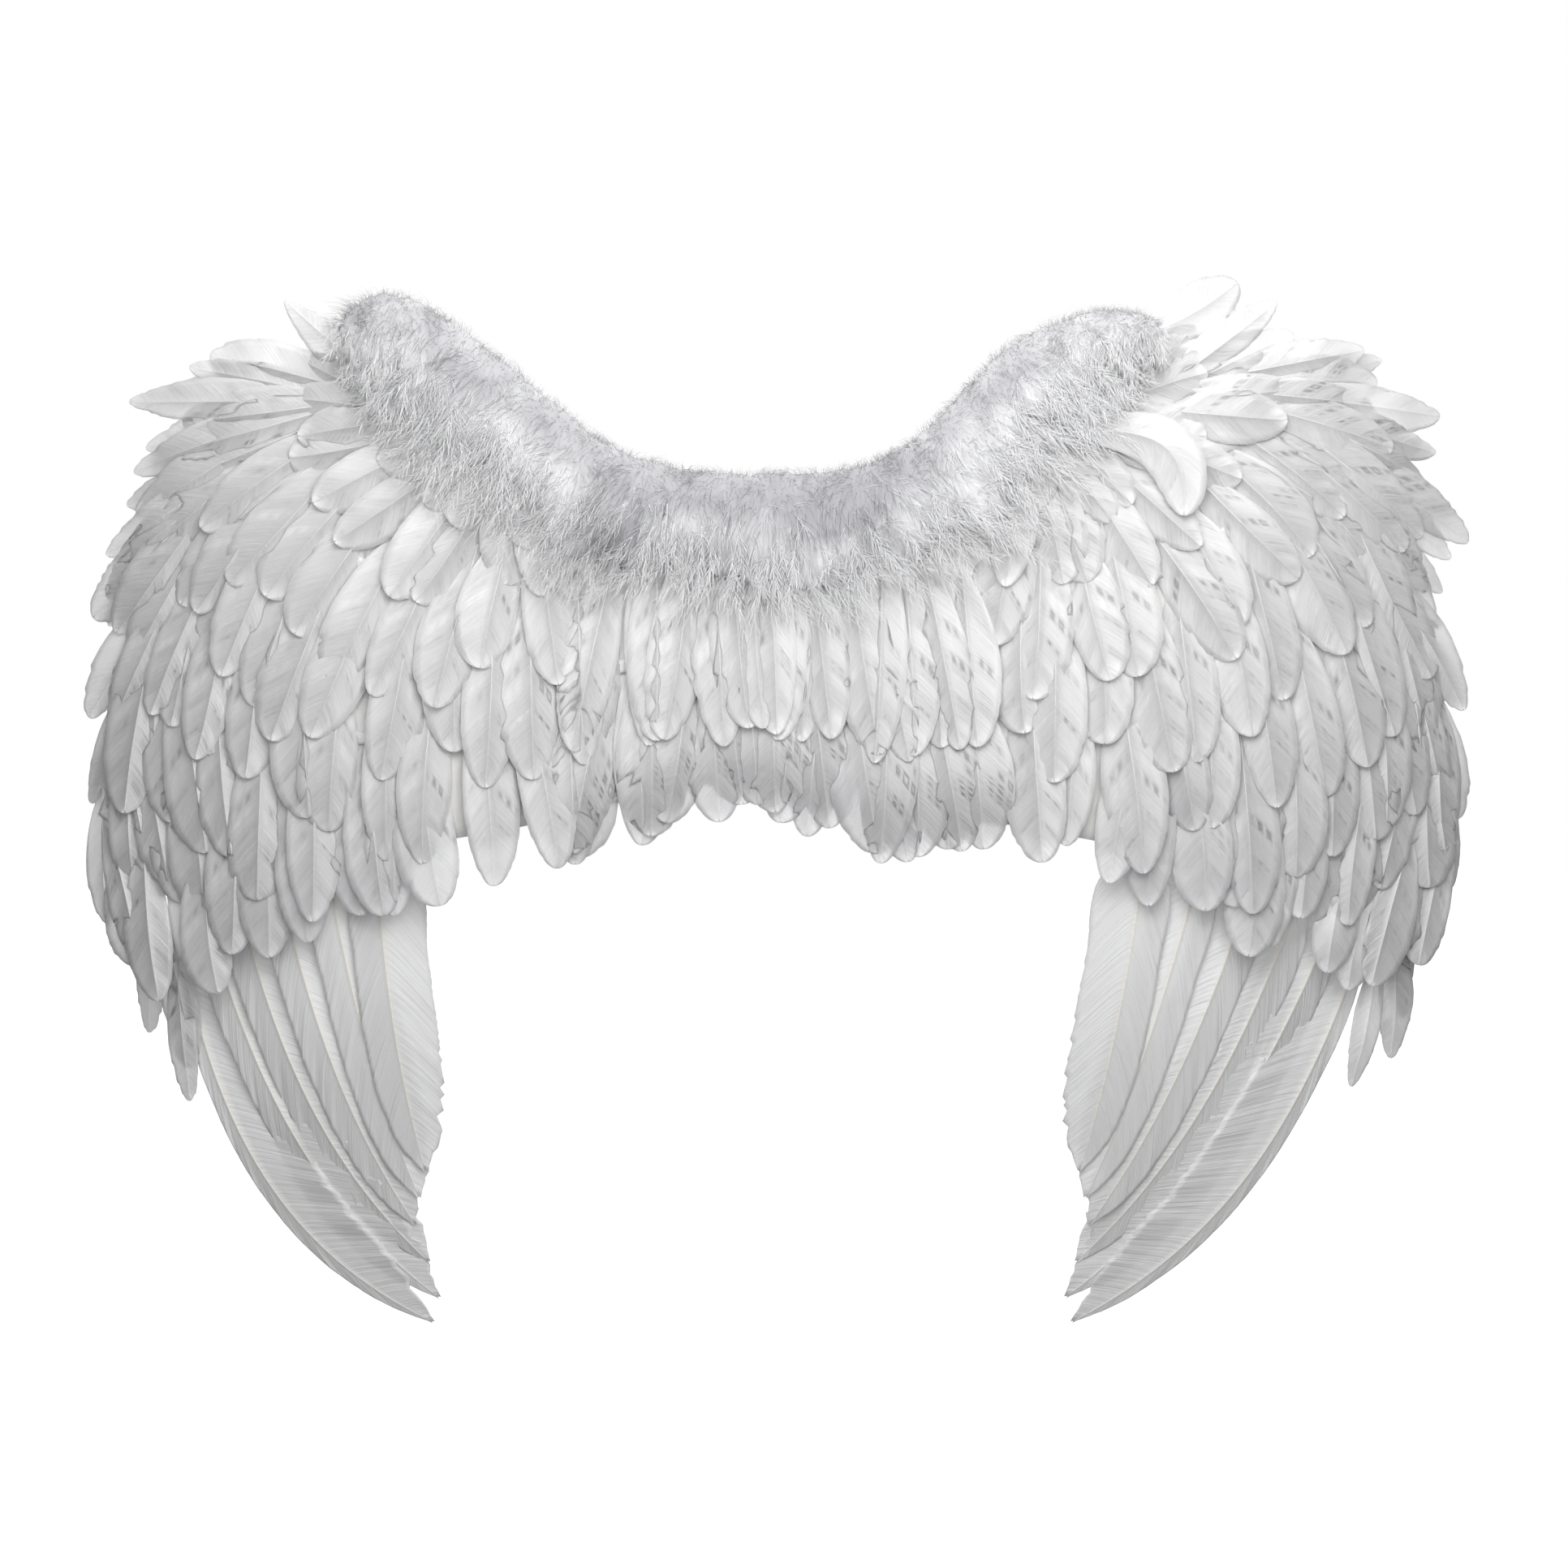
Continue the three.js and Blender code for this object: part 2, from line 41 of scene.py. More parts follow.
# smoothstep: three times the square less twice the cube of the clamped share between low and high
def smooth(low, high, v):
    f = np.clip((np.asarray(v, float) - low) / (high - low), 0, 1)
    return f * f * (3 - 2 * f)


# a share of the way from low to high
def between(low, high, share):
    return low + (high - low) * share


# repeatable scatter from -1 to 1: the fraction of a large sine, doubled, less one
def scatter(n):
    v = np.sin(np.asarray(n, float) * 12.9898) * 43758.5453
    return (v - np.floor(v)) * 2 - 1


# cubic Hermite curve through points, with slopes taken from each point's neighbours
def spline(xs, ys, x):
    xs, ys = np.asarray(xs, float), np.asarray(ys, float)
    k = np.clip(np.searchsorted(xs, x, side="right") - 1, 0, len(xs) - 2)
    h = xs[k + 1] - xs[k]
    f = (x - xs[k]) / h
    m = np.gradient(ys, xs)
    low = ((1 + 2 * f) * ys[k] + f * h * m[k]) * (1 - f) ** 2
    high = ((3 - 2 * f) * ys[k + 1] - (1 - f) * h * m[k + 1]) * f ** 2
    return low + high


# vectors divided by their length
def unit(v):
    return v / np.linalg.norm(v, axis=-1, keepdims=True)


# vectors in a plane after a quarter turn
def quarter(v):
    return np.stack([-v[:, 1], v[:, 0]], -1)


# a parabola from start to end, pulled to a control point, and its direction
def parabola(u, start, control, end):
    path = (1 - u) ** 2 * start + 2 * u * (1 - u) * control + u ** 2 * end
    return path, (1 - u) * (control - start) + u * (end - control)


# the length of a polyline, and a function for the points at distances along it
def measured(line):
    run = np.concatenate([[0], np.cumsum(np.linalg.norm(np.diff(line, axis=0), axis=1))])
    return run[-1], lambda d: np.stack([np.interp(d, run, line[:, k]) for k in (0, 1)], -1)


# one value for each feather, set to spread over the feather's rows and columns
def each(v):
    return v[:, None, None]


# How the felt panel bends: it swells at the wings, rolls back at the outer edges and leans at the bottom.
# gap is the clearance between neighbouring pieces
form = {"swell": 16, "swellAt": (50, 230), "roll": 52, "rollAt": (250, 430), "lean": 26,
        "leanAt": (-100, -400), "felt": 3, "gap": 0.6}


# the square of the share of the way from low to high, which grows on beyond it
def rising(low, high, v):
    return np.maximum(0, (v - low) / (high - low)) ** 2


# y of the panel's front: roll and lean grow with the square of the distance, and the swell is a smoothstep
def surfaceY(x, z):
    out = np.abs(x)
    swell = form["swell"] * smooth(*form["swellAt"], out)
    roll, lean = form["roll"] * rising(*form["rollAt"], out), form["lean"] * rising(*form["leanAt"], z)
    return roll + lean - swell - form["felt"]


# a point at a depth in front of the panel's face
def place(x, z, depth):
    return np.stack([x, surfaceY(x, z) - depth, z], -1)


# quads of a closed sheet: the front grid, the same grid turned round behind it, and a strip round the rim
def sheetQuads(rows, columns):
    g = np.arange(rows * columns).reshape(rows, columns)
    front = np.stack([g[:-1, :-1], g[1:, :-1], g[1:, 1:], g[:-1, 1:]], -1).reshape(-1, 4)
    rim = np.concatenate([g[:, 0], g[-1, 1:], g[-2::-1, -1], g[0, -2:0:-1]])
    ahead = np.roll(rim, -1)
    strip = np.stack([ahead, rim, rim + g.size, ahead + g.size], -1)
    quads = np.concatenate([front, front[:, ::-1] + g.size, strip])
    return quads, np.arange(len(quads)) >= 2 * len(front)


# a closed sheet between a front and a back grid of points, with its UV map laid on x and z
def sheetChunk(front, back):
    quads, rim = sheetQuads(*front.shape[:2])
    points = np.stack([front, back]).reshape(-1, 3)
    return {"points": points, "quads": quads, "flat": rim, "uv": points[:, [0, 2]] / uvUnit}


# quads of a tube: rings of points joined in order, round and along
def tubeQuads(rings, sides):
    g = np.arange(rings * sides).reshape(rings, sides)
    turned = np.roll(g, -1, axis=1)
    return np.stack([g[:-1], turned[:-1], turned[1:], g[1:]], -1).reshape(-1, 4)


# one set of faces repeated for each of a number of copies with so many points each
def repeated(faces, copies, size):
    return (faces[None] + size * np.arange(copies)[:, None, None]).reshape(-1, faces.shape[1])


# an object that carries the data, linked to the scene
def addObject(name, data):
    added = bpy.data.objects.new(name, data)
    bpy.context.scene.collection.objects.link(added)
    return added


# joins chunks of points and faces into one mesh and sets it in the frame in place of its nodes
def makePiece(name, chunks, material, nodes=()):
    starts = np.cumsum([0] + [len(c["points"]) for c in chunks])
    points = np.concatenate([c["points"] for c in chunks]) * mm
    quads = np.concatenate([c["quads"] + n for c, n in zip(chunks, starts)])
    tris = np.concatenate([c.get("tris", np.zeros((0, 3), int)) + n for c, n in zip(chunks, starts)])
    corners = np.concatenate([quads.ravel(), tris.ravel()]).astype(np.int32)
    firsts = np.concatenate([np.arange(len(quads)) * 4, 4 * len(quads) + np.arange(len(tris)) * 3])
    flat = np.concatenate([c.get("flat", np.zeros(len(c["quads"]), bool)) for c in chunks])
    mesh = bpy.data.meshes.new(name)
    mesh.vertices.add(len(points))
    mesh.vertices.foreach_set("co", points.astype(np.float32).ravel())
    mesh.loops.add(len(corners))
    mesh.loops.foreach_set("vertex_index", corners)
    mesh.polygons.add(len(firsts))
    mesh.polygons.foreach_set("loop_start", firsts.astype(np.int32))
    mesh.polygons.foreach_set("use_smooth", np.concatenate([~flat, np.ones(len(tris), bool)]))
    mesh.update(calc_edges=True)
    uv = np.concatenate([c["uv"] for c in chunks])
    mesh.uv_layers.new(name="grain").data.foreach_set("uv", uv[corners].astype(np.float32).ravel())
    for mark in ("shaft", "tone"):
        values = np.concatenate([c.get(mark, np.zeros(len(c["points"]))) for c in chunks])
        mesh.attributes.new(mark, "FLOAT", "POINT").data.foreach_set("value", values.astype(np.float32))
    mesh.materials.append(material)
    piece = addObject(name, mesh)
    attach(piece, "root")
    if nodes:
        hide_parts(*nodes)
    return piece


# a material with a Principled shader, the shader, and two helpers that add nodes and link them to it
def startMaterial(name, look):
    material = bpy.data.materials.new(name)
    material.use_nodes = True
    tree = material.node_tree
    shader = tree.nodes["Principled BSDF"]
    values = {
        "Roughness": look["roughness"], "Sheen Weight": look["sheen"], "Sheen Roughness": 0.4,
        "Anisotropic": look.get("anisotropy", 0), "Anisotropic Rotation": 0.25,
        "Specular IOR Level": look.get("gloss", 0.4), "Subsurface Weight": look.get("glow", 0),
        "Subsurface Scale": 0.0014, "Subsurface Radius": (1, 1, 1),
    }
    for socket, value in values.items():
        shader.inputs[socket].default_value = value

    # adds a node with its settings, and links or sets what feeds it
    def add(kind, feeds=(), **settings):
        node = tree.nodes.new(kind)
        for key, value in settings.items():
            setattr(node, key, value)
        for socket, value in feeds:
            if isinstance(value, bpy.types.NodeSocket):
                tree.links.new(value, node.inputs[socket])
            else:
                node.inputs[socket].default_value = value
        return node

    # links a colour, a normal and perhaps a tangent to the shader
    def dress(colour, normal, tangent=None):
        for socket, value in (("Base Color", colour), ("Normal", normal), ("Tangent", tangent)):
            if value is not None:
                tree.links.new(value, shader.inputs[socket])
        return material

    return material, shader, add, dress


# one colour where the factor is 0 and the other where it is 1
def mixColours(add, factor, first, second):
    return add("ShaderNodeMix", [(0, factor), (6, first), (7, second)], data_type="RGBA").outputs[2]


# the first value times a weight, plus the second
def weighed(add, first, weight, second):
    return add("ShaderNodeMath", [(0, first), (1, weight), (2, second)], operation="MULTIPLY_ADD").outputs[0]


# the mesh's own UV map
def grainOf(add):
    return add("ShaderNodeUVMap", uv_map="grain").outputs["UV"]


# an attribute of the mesh's points
def marked(add, name):
    return add("ShaderNodeAttribute", attribute_name=name).outputs["Fac"]


# noise of a detail and a scale, on coordinates that may be stretched first
def noise(add, where, detail, scale=1, stretch=None, distortion=0):
    if stretch is not None:
        where = add("ShaderNodeMapping", [("Vector", where), ("Scale", stretch)]).outputs["Vector"]
    return add("ShaderNodeTexNoise", [("Vector", where), ("Scale", scale), ("Detail", detail),
                                      ("Distortion", distortion)]).outputs["Fac"]


# a bump of a strength and a distance in metres, over another if one lies below it
def bumped(add, height, strength, distance, below=None):
    feeds = [("Height", height), ("Strength", strength), ("Distance", distance)]
    return add("ShaderNodeBump", feeds if below is None else [*feeds, ("Normal", below)]).outputs["Normal"]


# Feathers: pale barbs in fine parallel lines, soft clumps between them, and a clear shaft
def featherMaterial(name, look):
    _, _, add, dress = startMaterial(name, look)
    barb = noise(add, grainOf(add), 2, stretch=look["barbScale"])
    clump = noise(add, grainOf(add), 3, stretch=look["clumpScale"])
    shade = weighed(add, clump, look["clumpShade"], marked(add, "tone"))
    vane = mixColours(add, shade, look["shade"], look["light"])
    colour = mixColours(add, marked(add, "shaft"), vane, look["shaftColour"])
    fine = bumped(add, barb, look["barbBump"], 0.0003)
    tangent = add("ShaderNodeTangent", direction_type="UV_MAP", uv_map="grain").outputs["Tangent"]
    return dress(colour, bumped(add, clump, look["clumpBump"], 0.0008, fine), tangent)


covertFinish = {
    "roughness": 0.34, "sheen": 0.15, "anisotropy": 0.6, "glow": 0.7, "gloss": 0.8,
    "barbScale": (2.5, 70, 1), "clumpScale": (1.4, 16, 1), "barbBump": 0.4, "clumpBump": 0.5,
    "clumpShade": 0.55, "shade": (0.68, 0.68, 0.695, 1), "light": (0.985, 0.985, 0.985, 1),
    "shaftColour": (0.95, 0.95, 0.95, 1),
}
# The flights' colours are darker than the coverts': partly their own colour, partly a painted shade.
flightFinish = {
    "roughness": 0.4, "sheen": 0.15, "anisotropy": 0.5, "glow": 0.4, "gloss": 0.6,
    "barbScale": (2, 60, 1), "clumpScale": (1, 13, 1), "barbBump": 0.5, "clumpBump": 0.9,
    "clumpShade": 0.55, "shade": (0.72, 0.72, 0.735, 1), "light": (0.87, 0.87, 0.875, 1),
    "shaftColour": (0.87, 0.855, 0.81, 1),
}
covertMaterial = featherMaterial("covert_vane", covertFinish)
flightMaterial = featherMaterial("flight_vane", flightFinish)


# Outline of a covert: the half width rises as a sine to the widest place and closes as a quarter ellipse
covertLook = {
    "start": 0.03, "widest": 0.7, "rise": 0.75, "close": 0.95, "baseRows": 9, "tipRows": 16,
    "vane": (0, 0.24, 0.5, 0.78, 1), "sweep": 1.15,
    "shaftRadius": 0.5, "shaftShow": 0.35, "ridge": 0.5, "thickness": 0.22, "roof": 0.36, "roofSpread": 0.12,
    "settle": 0.5, "curve": 0, "curl": 3.4, "curlSpread": 1.6, "roll": 0.06, "tilt": 0.12, "seed": 3,
    "waves": ((6, 0.06), (11, 0.2), (24, 0.55)), "clump": (4, 15), "clumpLift": 0.16, "fray": 0.012,
    "step": 0.12, "outerStep": 0.24, "stepEarly": 0.12, "stepAt": (0.55, 0.95),
}
covertBase = np.linspace(covertLook["start"], covertLook["widest"], covertLook["baseRows"])
covertTurn = np.linspace(0, np.pi / 2, covertLook["tipRows"] + 1)[1:]
covertLook["at"] = np.concatenate([covertBase, between(covertLook["widest"], 1, np.sin(covertTurn))])
covertRise = np.sin(np.pi / 2 * (covertBase / covertLook["widest"]) ** covertLook["rise"])
covertLook["share"] = np.concatenate([covertRise, np.cos(covertTurn) ** covertLook["close"]])

# What all feathers share: their clumps and how far short a clump may end, where the point narrows, the least
# sizes, the shaft's taper and columns, how barbs and bow bend, where curl, waves and lift set in, and tone
shell = {
    "clumps": 60, "clumpShort": (0.2, 1), "narrowAt": (0.4, 1.15), "leastHalf": 0.6, "leastAlong": 0.35,
    "leastVane": 0.05, "shaftTaper": 0.75, "shaftColumns": (-0.55, 0, 0.55), "shaftRidge": (0.6, 1, 0.6),
    "barbBend": 1.2, "bowBend": 1.25, "curlAt": (0.45, 1), "waveAt": (0.05, 0.85), "waveSpread": 0.2,
    "phase": 9, "handPhase": 3.3, "liftUntil": 0.3, "press": 0.25, "uvSpread": 5, "tone": 0.5,
    "toneSpread": 0.15,
}


# Barbs hang together in clumps along both sides of a shaft. Within a clump each barb ends a little further
# out than the one before it, so the first value runs from a random depth down to 0. The second is the clump's
# own lift, and the third is a scatter of single barbs.
def clumped(look, length, seed):
    rng = np.random.default_rng(seed)
    width = rng.uniform(*look["clump"], (len(length), 1, 2, shell["clumps"]))
    high = np.cumsum(width, axis=3)
    at = (look["at"][None, :] * length[:, None])[:, :, None, None]
    index = np.minimum((at > high).sum(3, keepdims=True), shell["clumps"] - 1)
    every = index.shape[:3] + (shell["clumps"],)
    take = lambda v: np.take_along_axis(np.broadcast_to(v, every), index, 3)[..., 0]
    short = take(rng.uniform(*shell["clumpShort"], width.shape)) * (take(high) - at[..., 0]) / take(width)
    fray = look["fray"] * rng.random(short.shape)
    return np.clip(short, 0, 1), take(rng.uniform(-1, 1, width.shape)) * look["clumpLift"], fray


# how much of a clump's step shows along a feather: a small share early on, and all of it towards the tip
def stepShow(look, early):
    return look["stepEarly"] * early + (1 - look["stepEarly"]) * smooth(*look["stepAt"], look["at"])


# Closed feather shells. Row i of a grid runs along one barb: it leaves the shaft at b and ends on the outline
# at a, with b less than a by the sweep times the half width over the length. The shaft is a chord with a
# parabola of sag. The depth is that of the row, less a roof that settles level at the edge, a curve across
# and a curl at the tip, with a tilt about the shaft that a twist turns back, sines along the barbs and the
# lift of each clump. What would sink into the felt is pressed to a part of that depth, and the tone falls by
# the shade tone towards the tip, a painted shade.
def featherChunk(blades, look, depthOf):
    root, run = blades["root"], blades["tip"] - blades["root"]
    count, rows, columns = len(root), len(look["at"]), len(look["vane"])
    length = each(np.linalg.norm(run, axis=1))
    ahead = run / length[:, 0]
    across = quarter(ahead)
    vane = np.stack([blades["minus"], blades["plus"]], -1)[:, None, :]
    narrow = 1 - each(blades["point"]) * smooth(*shell["narrowAt"], look["at"])[None, :, None]
    half = look["share"][None, :, None] * vane * (1 - blades["ragged"]) * narrow
    half = np.maximum(half, look["shaftRadius"] * shell["leastHalf"])
    a = np.broadcast_to(look["at"][None, :, None], (count, rows, 1))
    b = np.maximum(a - look["sweep"] * half.mean(2, keepdims=True) / length, shell["leastAlong"] * a)
    b = np.maximum.accumulate(b, axis=1) + 1e-4 * np.arange(rows)[None, :, None] / rows
    radius = look["shaftRadius"] * (1 - shell["shaftTaper"] * b)
    share = np.array(look["vane"])[None, None, :]
    minus = -(radius + np.maximum(half[:, :, :1] - radius, shell["leastVane"]) * share)[:, :, ::-1]
    plus = radius + np.maximum(half[:, :, 1:] - radius, shell["leastVane"]) * share
    side = np.concatenate([minus, radius * np.array(shell["shaftColumns"]), plus], 2)
    reach = np.concatenate([np.array(look["vane"])[::-1], [0, 0, 0], look["vane"]])[None, None, :]
    along = between(b, a, reach ** shell["barbBend"])

    late = along ** shell["bowBend"]
    bow = each(blades["bow"])
    sag = 4 * bow * late * (1 - late)
    slope = 4 * bow * (1 - 2 * late) * shell["bowBend"] * along ** (shell["bowBend"] - 1)
    stretch = np.sqrt(length ** 2 + slope ** 2)
    offAhead, offAcross = -slope / stretch * side, length / stretch * side + sag
    far = along * length + offAhead
    x, z = (each(root[:, k]) + each(ahead[:, k]) * far + each(across[:, k]) * offAcross for k in (0, 1))

    vary = lambda n: scatter(each(blades["key"]) + n)
    flat = np.abs(side)
    hand = np.sign(side) * shell["handPhase"]
    roof = look["roof"] + look["roofSpread"] * vary(11)
    curl = look["curl"] + blades["curl"] + look["curlSpread"] * vary(12)
    barb = b * length
    turns = lambda n, long: 2 * np.pi * barb / (long * (1 + shell["waveSpread"] * vary(20 + n)))
    wave = sum(size * np.sin(turns(n, long) + shell["phase"] * vary(30 + n) + hand * n)
               for n, (long, size) in enumerate(look["waves"]))
    lifts = blades["clumpLift"]
    blank = np.zeros((count, rows, 3))
    clump = np.concatenate([lifts[..., :1].repeat(columns, 2), blank, lifts[..., 1:].repeat(columns, 2)], 2)
    shape = -roof * flat * (1 - look["settle"] * reach) - look["curve"] * flat ** 2
    shape = shape - curl * smooth(*shell["curlAt"], along) ** 2
    turned = 1 - blades["twist"] * smooth(*blades["twistAt"], along)
    shape = shape + (each(blades["tilt"]) * turned + look["roll"] * vary(13)) * side
    shape = shape + (wave + clump) * smooth(*shell["waveAt"], reach)
    level = np.zeros(columns)
    ridge = np.concatenate([level, shell["shaftRidge"], level]) * radius * look["ridge"]
    depth = depthOf(x, z) + each(blades["lift"]) * np.minimum(1, along / shell["liftUntil"]) + shape
    pressed = (depth < form["gap"]) & (z > blades["pressedAbove"])
    depth = np.where(pressed, shell["press"] * depth + (1 - shell["press"]) * form["gap"], depth)
    front = place(x, z, depth + ridge)
    back = place(x, z, depth - look["thickness"] - ridge)

    points = np.stack([front, back], 1).reshape(-1, 3)
    quads, rim = sheetQuads(rows, side.shape[2])
    size = 2 * rows * side.shape[2]
    moved = [shell["uvSpread"] * vary(n) for n in (16, 17)]
    uv = np.stack(np.broadcast_arrays(side / uvUnit + moved[0], barb / uvUnit + moved[1]), -1)
    onShaft = np.broadcast_to((reach == 0) * look["shaftShow"], side.shape)
    tone = shell["tone"] + shell["toneSpread"] * vary(18) - blades["grey"] * along
    double = lambda v: np.stack([v, v], 1).reshape(-1, *v.shape[3:])
    return {"points": points, "quads": repeated(quads, count, size), "flat": np.tile(rim, count),
            "uv": double(uv), "shaft": double(onShaft), "tone": double(tone)}


quillTape = {"width": 8, "thickness": 1.4, "spare": 6, "columns": (-1, -0.35, 0.35, 1)}


# The tape that a row's quills are sewn to: a flat strip through the roots and a little beyond them
def tapeChunk(roots, low):
    ends = roots[[0, -1]] + quillTape["spare"] * unit(roots[[0, -1]] - roots[[1, -2]])
    line = np.concatenate([ends[:1], roots, ends[1:]])
    low = np.broadcast_to(low, len(roots))
    low = np.concatenate([low[:1], low, low[-1:]])[:, None]
    side = quarter(unit(np.gradient(line, axis=0)))[:, None] * quillTape["width"] / 2
    edges = line[:, None] + side * np.array(quillTape["columns"])[None, :, None]
    front, back = (place(edges[..., 0], edges[..., 1], low + thick) for thick in (quillTape["thickness"], 0))
    return sheetChunk(front, back)


# a row of feathers and its tape as one piece, in place of the row's node
def makeRow(kind, spot, blades, depthOf, sewn, tapeLow, extra=()):
    chunks = [featherChunk(blades, covertLook, depthOf), tapeChunk(sewn, tapeLow), *extra]
    makePiece(f"{kind}_feathers_{spot}", chunks, covertMaterial, [f"{kind}_row_{spot}"])


# Wings and the tiers of coverts on arcs about each shoulder
wings = {
    "left": {"side": -1, "seed": 11, "shoulderX": 150, "shoulderZ": 160, "reach": 1, "topReach": 0,
             "flightSpread": 1, "flightTip": 0, "flightBow": 1, "twistAt": (0.3, 0.72)},
    "right": {"side": 1, "seed": 57, "shoulderX": 158, "shoulderZ": 167, "reach": 1.01, "topReach": 0.09,
              "flightSpread": 1.14, "flightTip": -21, "flightBow": 0.82, "twistAt": (0.05, 0.5)},
}
for wing in wings.values():
    wing["shoulder"] = np.array([wing["side"] * wing["shoulderX"], wing["shoulderZ"]])
tierKeys = ("outer", "mid", "inner", "fromDeg", "toDeg", "count", "length", "width", "base", "curl")
tiers = [dict(zip(tierKeys, row)) for row in (
    (100, 102, 92, -18, 88, 6, 74, 34, 2.6, 0.8),
    (152, 146, 126, -16, 98, 9, 92, 37, 0, 1.8),
    (196, 210, 176, -7, 95, 12, 98, 39, 0, 0.8),
    (240, 254, 228, 4, 92, 13, 110, 39, 0, 1.9),
    (282, 306, 288, 20, 91, 13, 110, 39, 0, 0.8),
    (331, 348, 322, 36, 79, 9, 104, 38, 0, 0.4),
    (373, 386, 366, 45, 69, 6, 98, 36, 0, 0.4),
    (404, 426, 411, 51, 64, 4, 90, 33, 0, 0),
)]
# hemShade darkens the tips near the hem with a painted shade, between the heights in hemAt
layout = {
    "topReachDeg": 30, "splayDeg": 16, "splayUntil": 0.25, "outerVane": 0.8, "outerVaneUntil": 0.3,
    "turnDeg": 9, "stretch": 0.12, "bow": 2.5, "twist": 0.22, "twistFrom": 165, "fadeDeg": 95, "fadeSpan": 45,
    "rootDepth": 1.3, "slope": 0.12, "lift": 0.9, "under": 2.2, "underUntil": 0.36, "underAllFrom": 6,
    "outerCurl": 6, "uneven": 0.22, "point": 0.2, "outerPoint": 0.45, "pointSpread": 0.18,
    "hemShade": 0.85, "hemAt": (-40, -125), "rowKeys": 100, "edgeKeys": 900, "featherKeys": 7,
}


# Root and tip of feathers whose tips stand at an angle and radius about a shoulder: the root is a length back
# along the pointing angle, and the tip is then turned and stretched a little about the root
def fanned(wing, deg, radius, share, length, key):
    # a step of a size at an angle, measured down from the wing's own side
    def along(angle, size):
        turned = np.radians(angle)
        return np.stack([wing["side"] * np.cos(turned) * size, -np.sin(turned) * size], -1)

    fade = np.clip((layout["fadeDeg"] - deg) / layout["fadeSpan"], 0, 1)
    splay = layout["splayDeg"] * (1 - smooth(0, layout["splayUntil"], share))
    point = deg + layout["twist"] * (radius - layout["twistFrom"]) * fade - splay
    reach = wing["reach"] + wing["topReach"] * (1 - smooth(0, layout["topReachDeg"], deg))
    root = wing["shoulder"] + along(deg, radius * reach) - along(point, np.full_like(deg, length))
    size = length * (1 + layout["stretch"] * scatter(key + 1))
    return root, root + along(point + layout["turnDeg"] * scatter(key), size)


# a row's arrays: each vane is a little wider or narrower than the next, the shafts bow by a scatter, and the
# outer edge of every vane lies up over its neighbour. outer says how ragged and narrow each feather is, and
# tips near the hem are darkened by a painted shade, a smoothstep of their height
def bladeArrays(root, tip, vane, key, lift, outer, side):
    key = np.asarray(key, float)
    length = np.linalg.norm(tip - root, axis=1)
    short, clumpLift, fray = clumped(covertLook, length, covertLook["seed"] + int(key[0]))
    step = between(covertLook["step"], covertLook["outerStep"], each(outer))
    late = stepShow(covertLook, 1)[None, :, None]
    hem = each(smooth(*layout["hemAt"], tip[:, 1]))
    return {
        "root": root, "tip": tip, "key": key, "lift": lift, "tilt": side * covertLook["tilt"] + 0 * key,
        "twist": 0, "twistAt": (0, 1), "pressedAbove": -np.inf, "grey": layout["hemShade"] * hem,
        "plus": vane * (1 + layout["uneven"] * scatter(key + 3)),
        "minus": vane * (1 + layout["uneven"] * scatter(key + 4)),
        "curl": each(layout["outerCurl"] * outer), "bow": layout["bow"] * scatter(key + 2),
        "ragged": step * short * late + fray, "clumpLift": clumpLift,
        "point": between(layout["point"], layout["outerPoint"], outer)
        + layout["pointSpread"] * scatter(key + 5),
    }


# depth that rises with the distance from the shoulder beyond each root
def fanDepth(wing, root, base):
    shoulder = wing["shoulder"]
    start = each(np.linalg.norm(root - shoulder, axis=1))
    return lambda x, z: base + layout["rootDepth"] + layout["slope"] * np.maximum(
        0, np.hypot(x - shoulder[0], z - shoulder[1]) - start)


# one feather by itself, with the bow, the point and the painted shade that its dictionary gives in place of a
# row's
def loneFeather(lone, depthOf):
    blade = bladeArrays(np.array([lone["root"]], float), np.array([lone["tip"]], float),
                        np.array([lone["width"] / 2]), np.array([lone["key"]]), np.zeros(1), np.zeros(1), 1)
    for trait in {"bow", "point", "grey"} & set(lone):
        blade[trait] = np.array([lone[trait]], float)
    return featherChunk(blade, covertLook, depthOf)


# A feather of the right shoulder whose tip hooks round, as a strong bow of the shaft, and rises with x
hooked = {"row": ("right", 2), "root": (186, 133), "tip": (252, 80), "bow": 25, "width": 31, "depth": 13,
          "slope": 0.03, "key": 91, "point": 0}
hookedDepth = lambda x, z: hooked["depth"] + hooked["slope"] * (x - hooked["root"][0])

seams = []  # lines of roots, sewn through the panel
for wingName, wing in wings.items():
    for number, tier in enumerate(tiers, 1):
        allUnder = number >= layout["underAllFrom"]
        under = np.arange(0.5, tier["count"] - 1 if allUnder else layout["underUntil"] * tier["count"])
        i = np.concatenate([np.arange(tier["count"]), under])
        f = i / (tier["count"] - 1)
        key = wing["seed"] + number * layout["rowKeys"] + i * layout["featherKeys"]
        pull = 2 * tier["mid"] - (tier["outer"] + tier["inner"]) / 2
        radius = parabola(f, tier["outer"], pull, tier["inner"])[0]
        deg = between(tier["fromDeg"], tier["toDeg"], f)
        root, tip = fanned(wing, deg, radius, f, tier["length"], key)
        fuller = smooth(0, layout["outerVaneUntil"], f)
        vane = tier["width"] / 2 * between(layout["outerVane"], 1, fuller)
        lift = np.where(i % 1 > 0, -layout["under"], layout["lift"] * scatter(key + 6))
        blades = bladeArrays(root, tip, vane, key, lift, 1 - fuller, wing["side"])
        blades["curl"] = blades["curl"] + tier["curl"]
        sewn = root[:tier["count"]]
        seams.append(sewn)
        extra = [loneFeather(hooked, hookedDepth)] if (wingName, number) == hooked["row"] else []
        makeRow("covert", f"{wingName}_{number}", blades, fanDepth(wing, root, tier["base"]), sewn,
                form["gap"] + tier["base"], extra)
print("covert rows made")

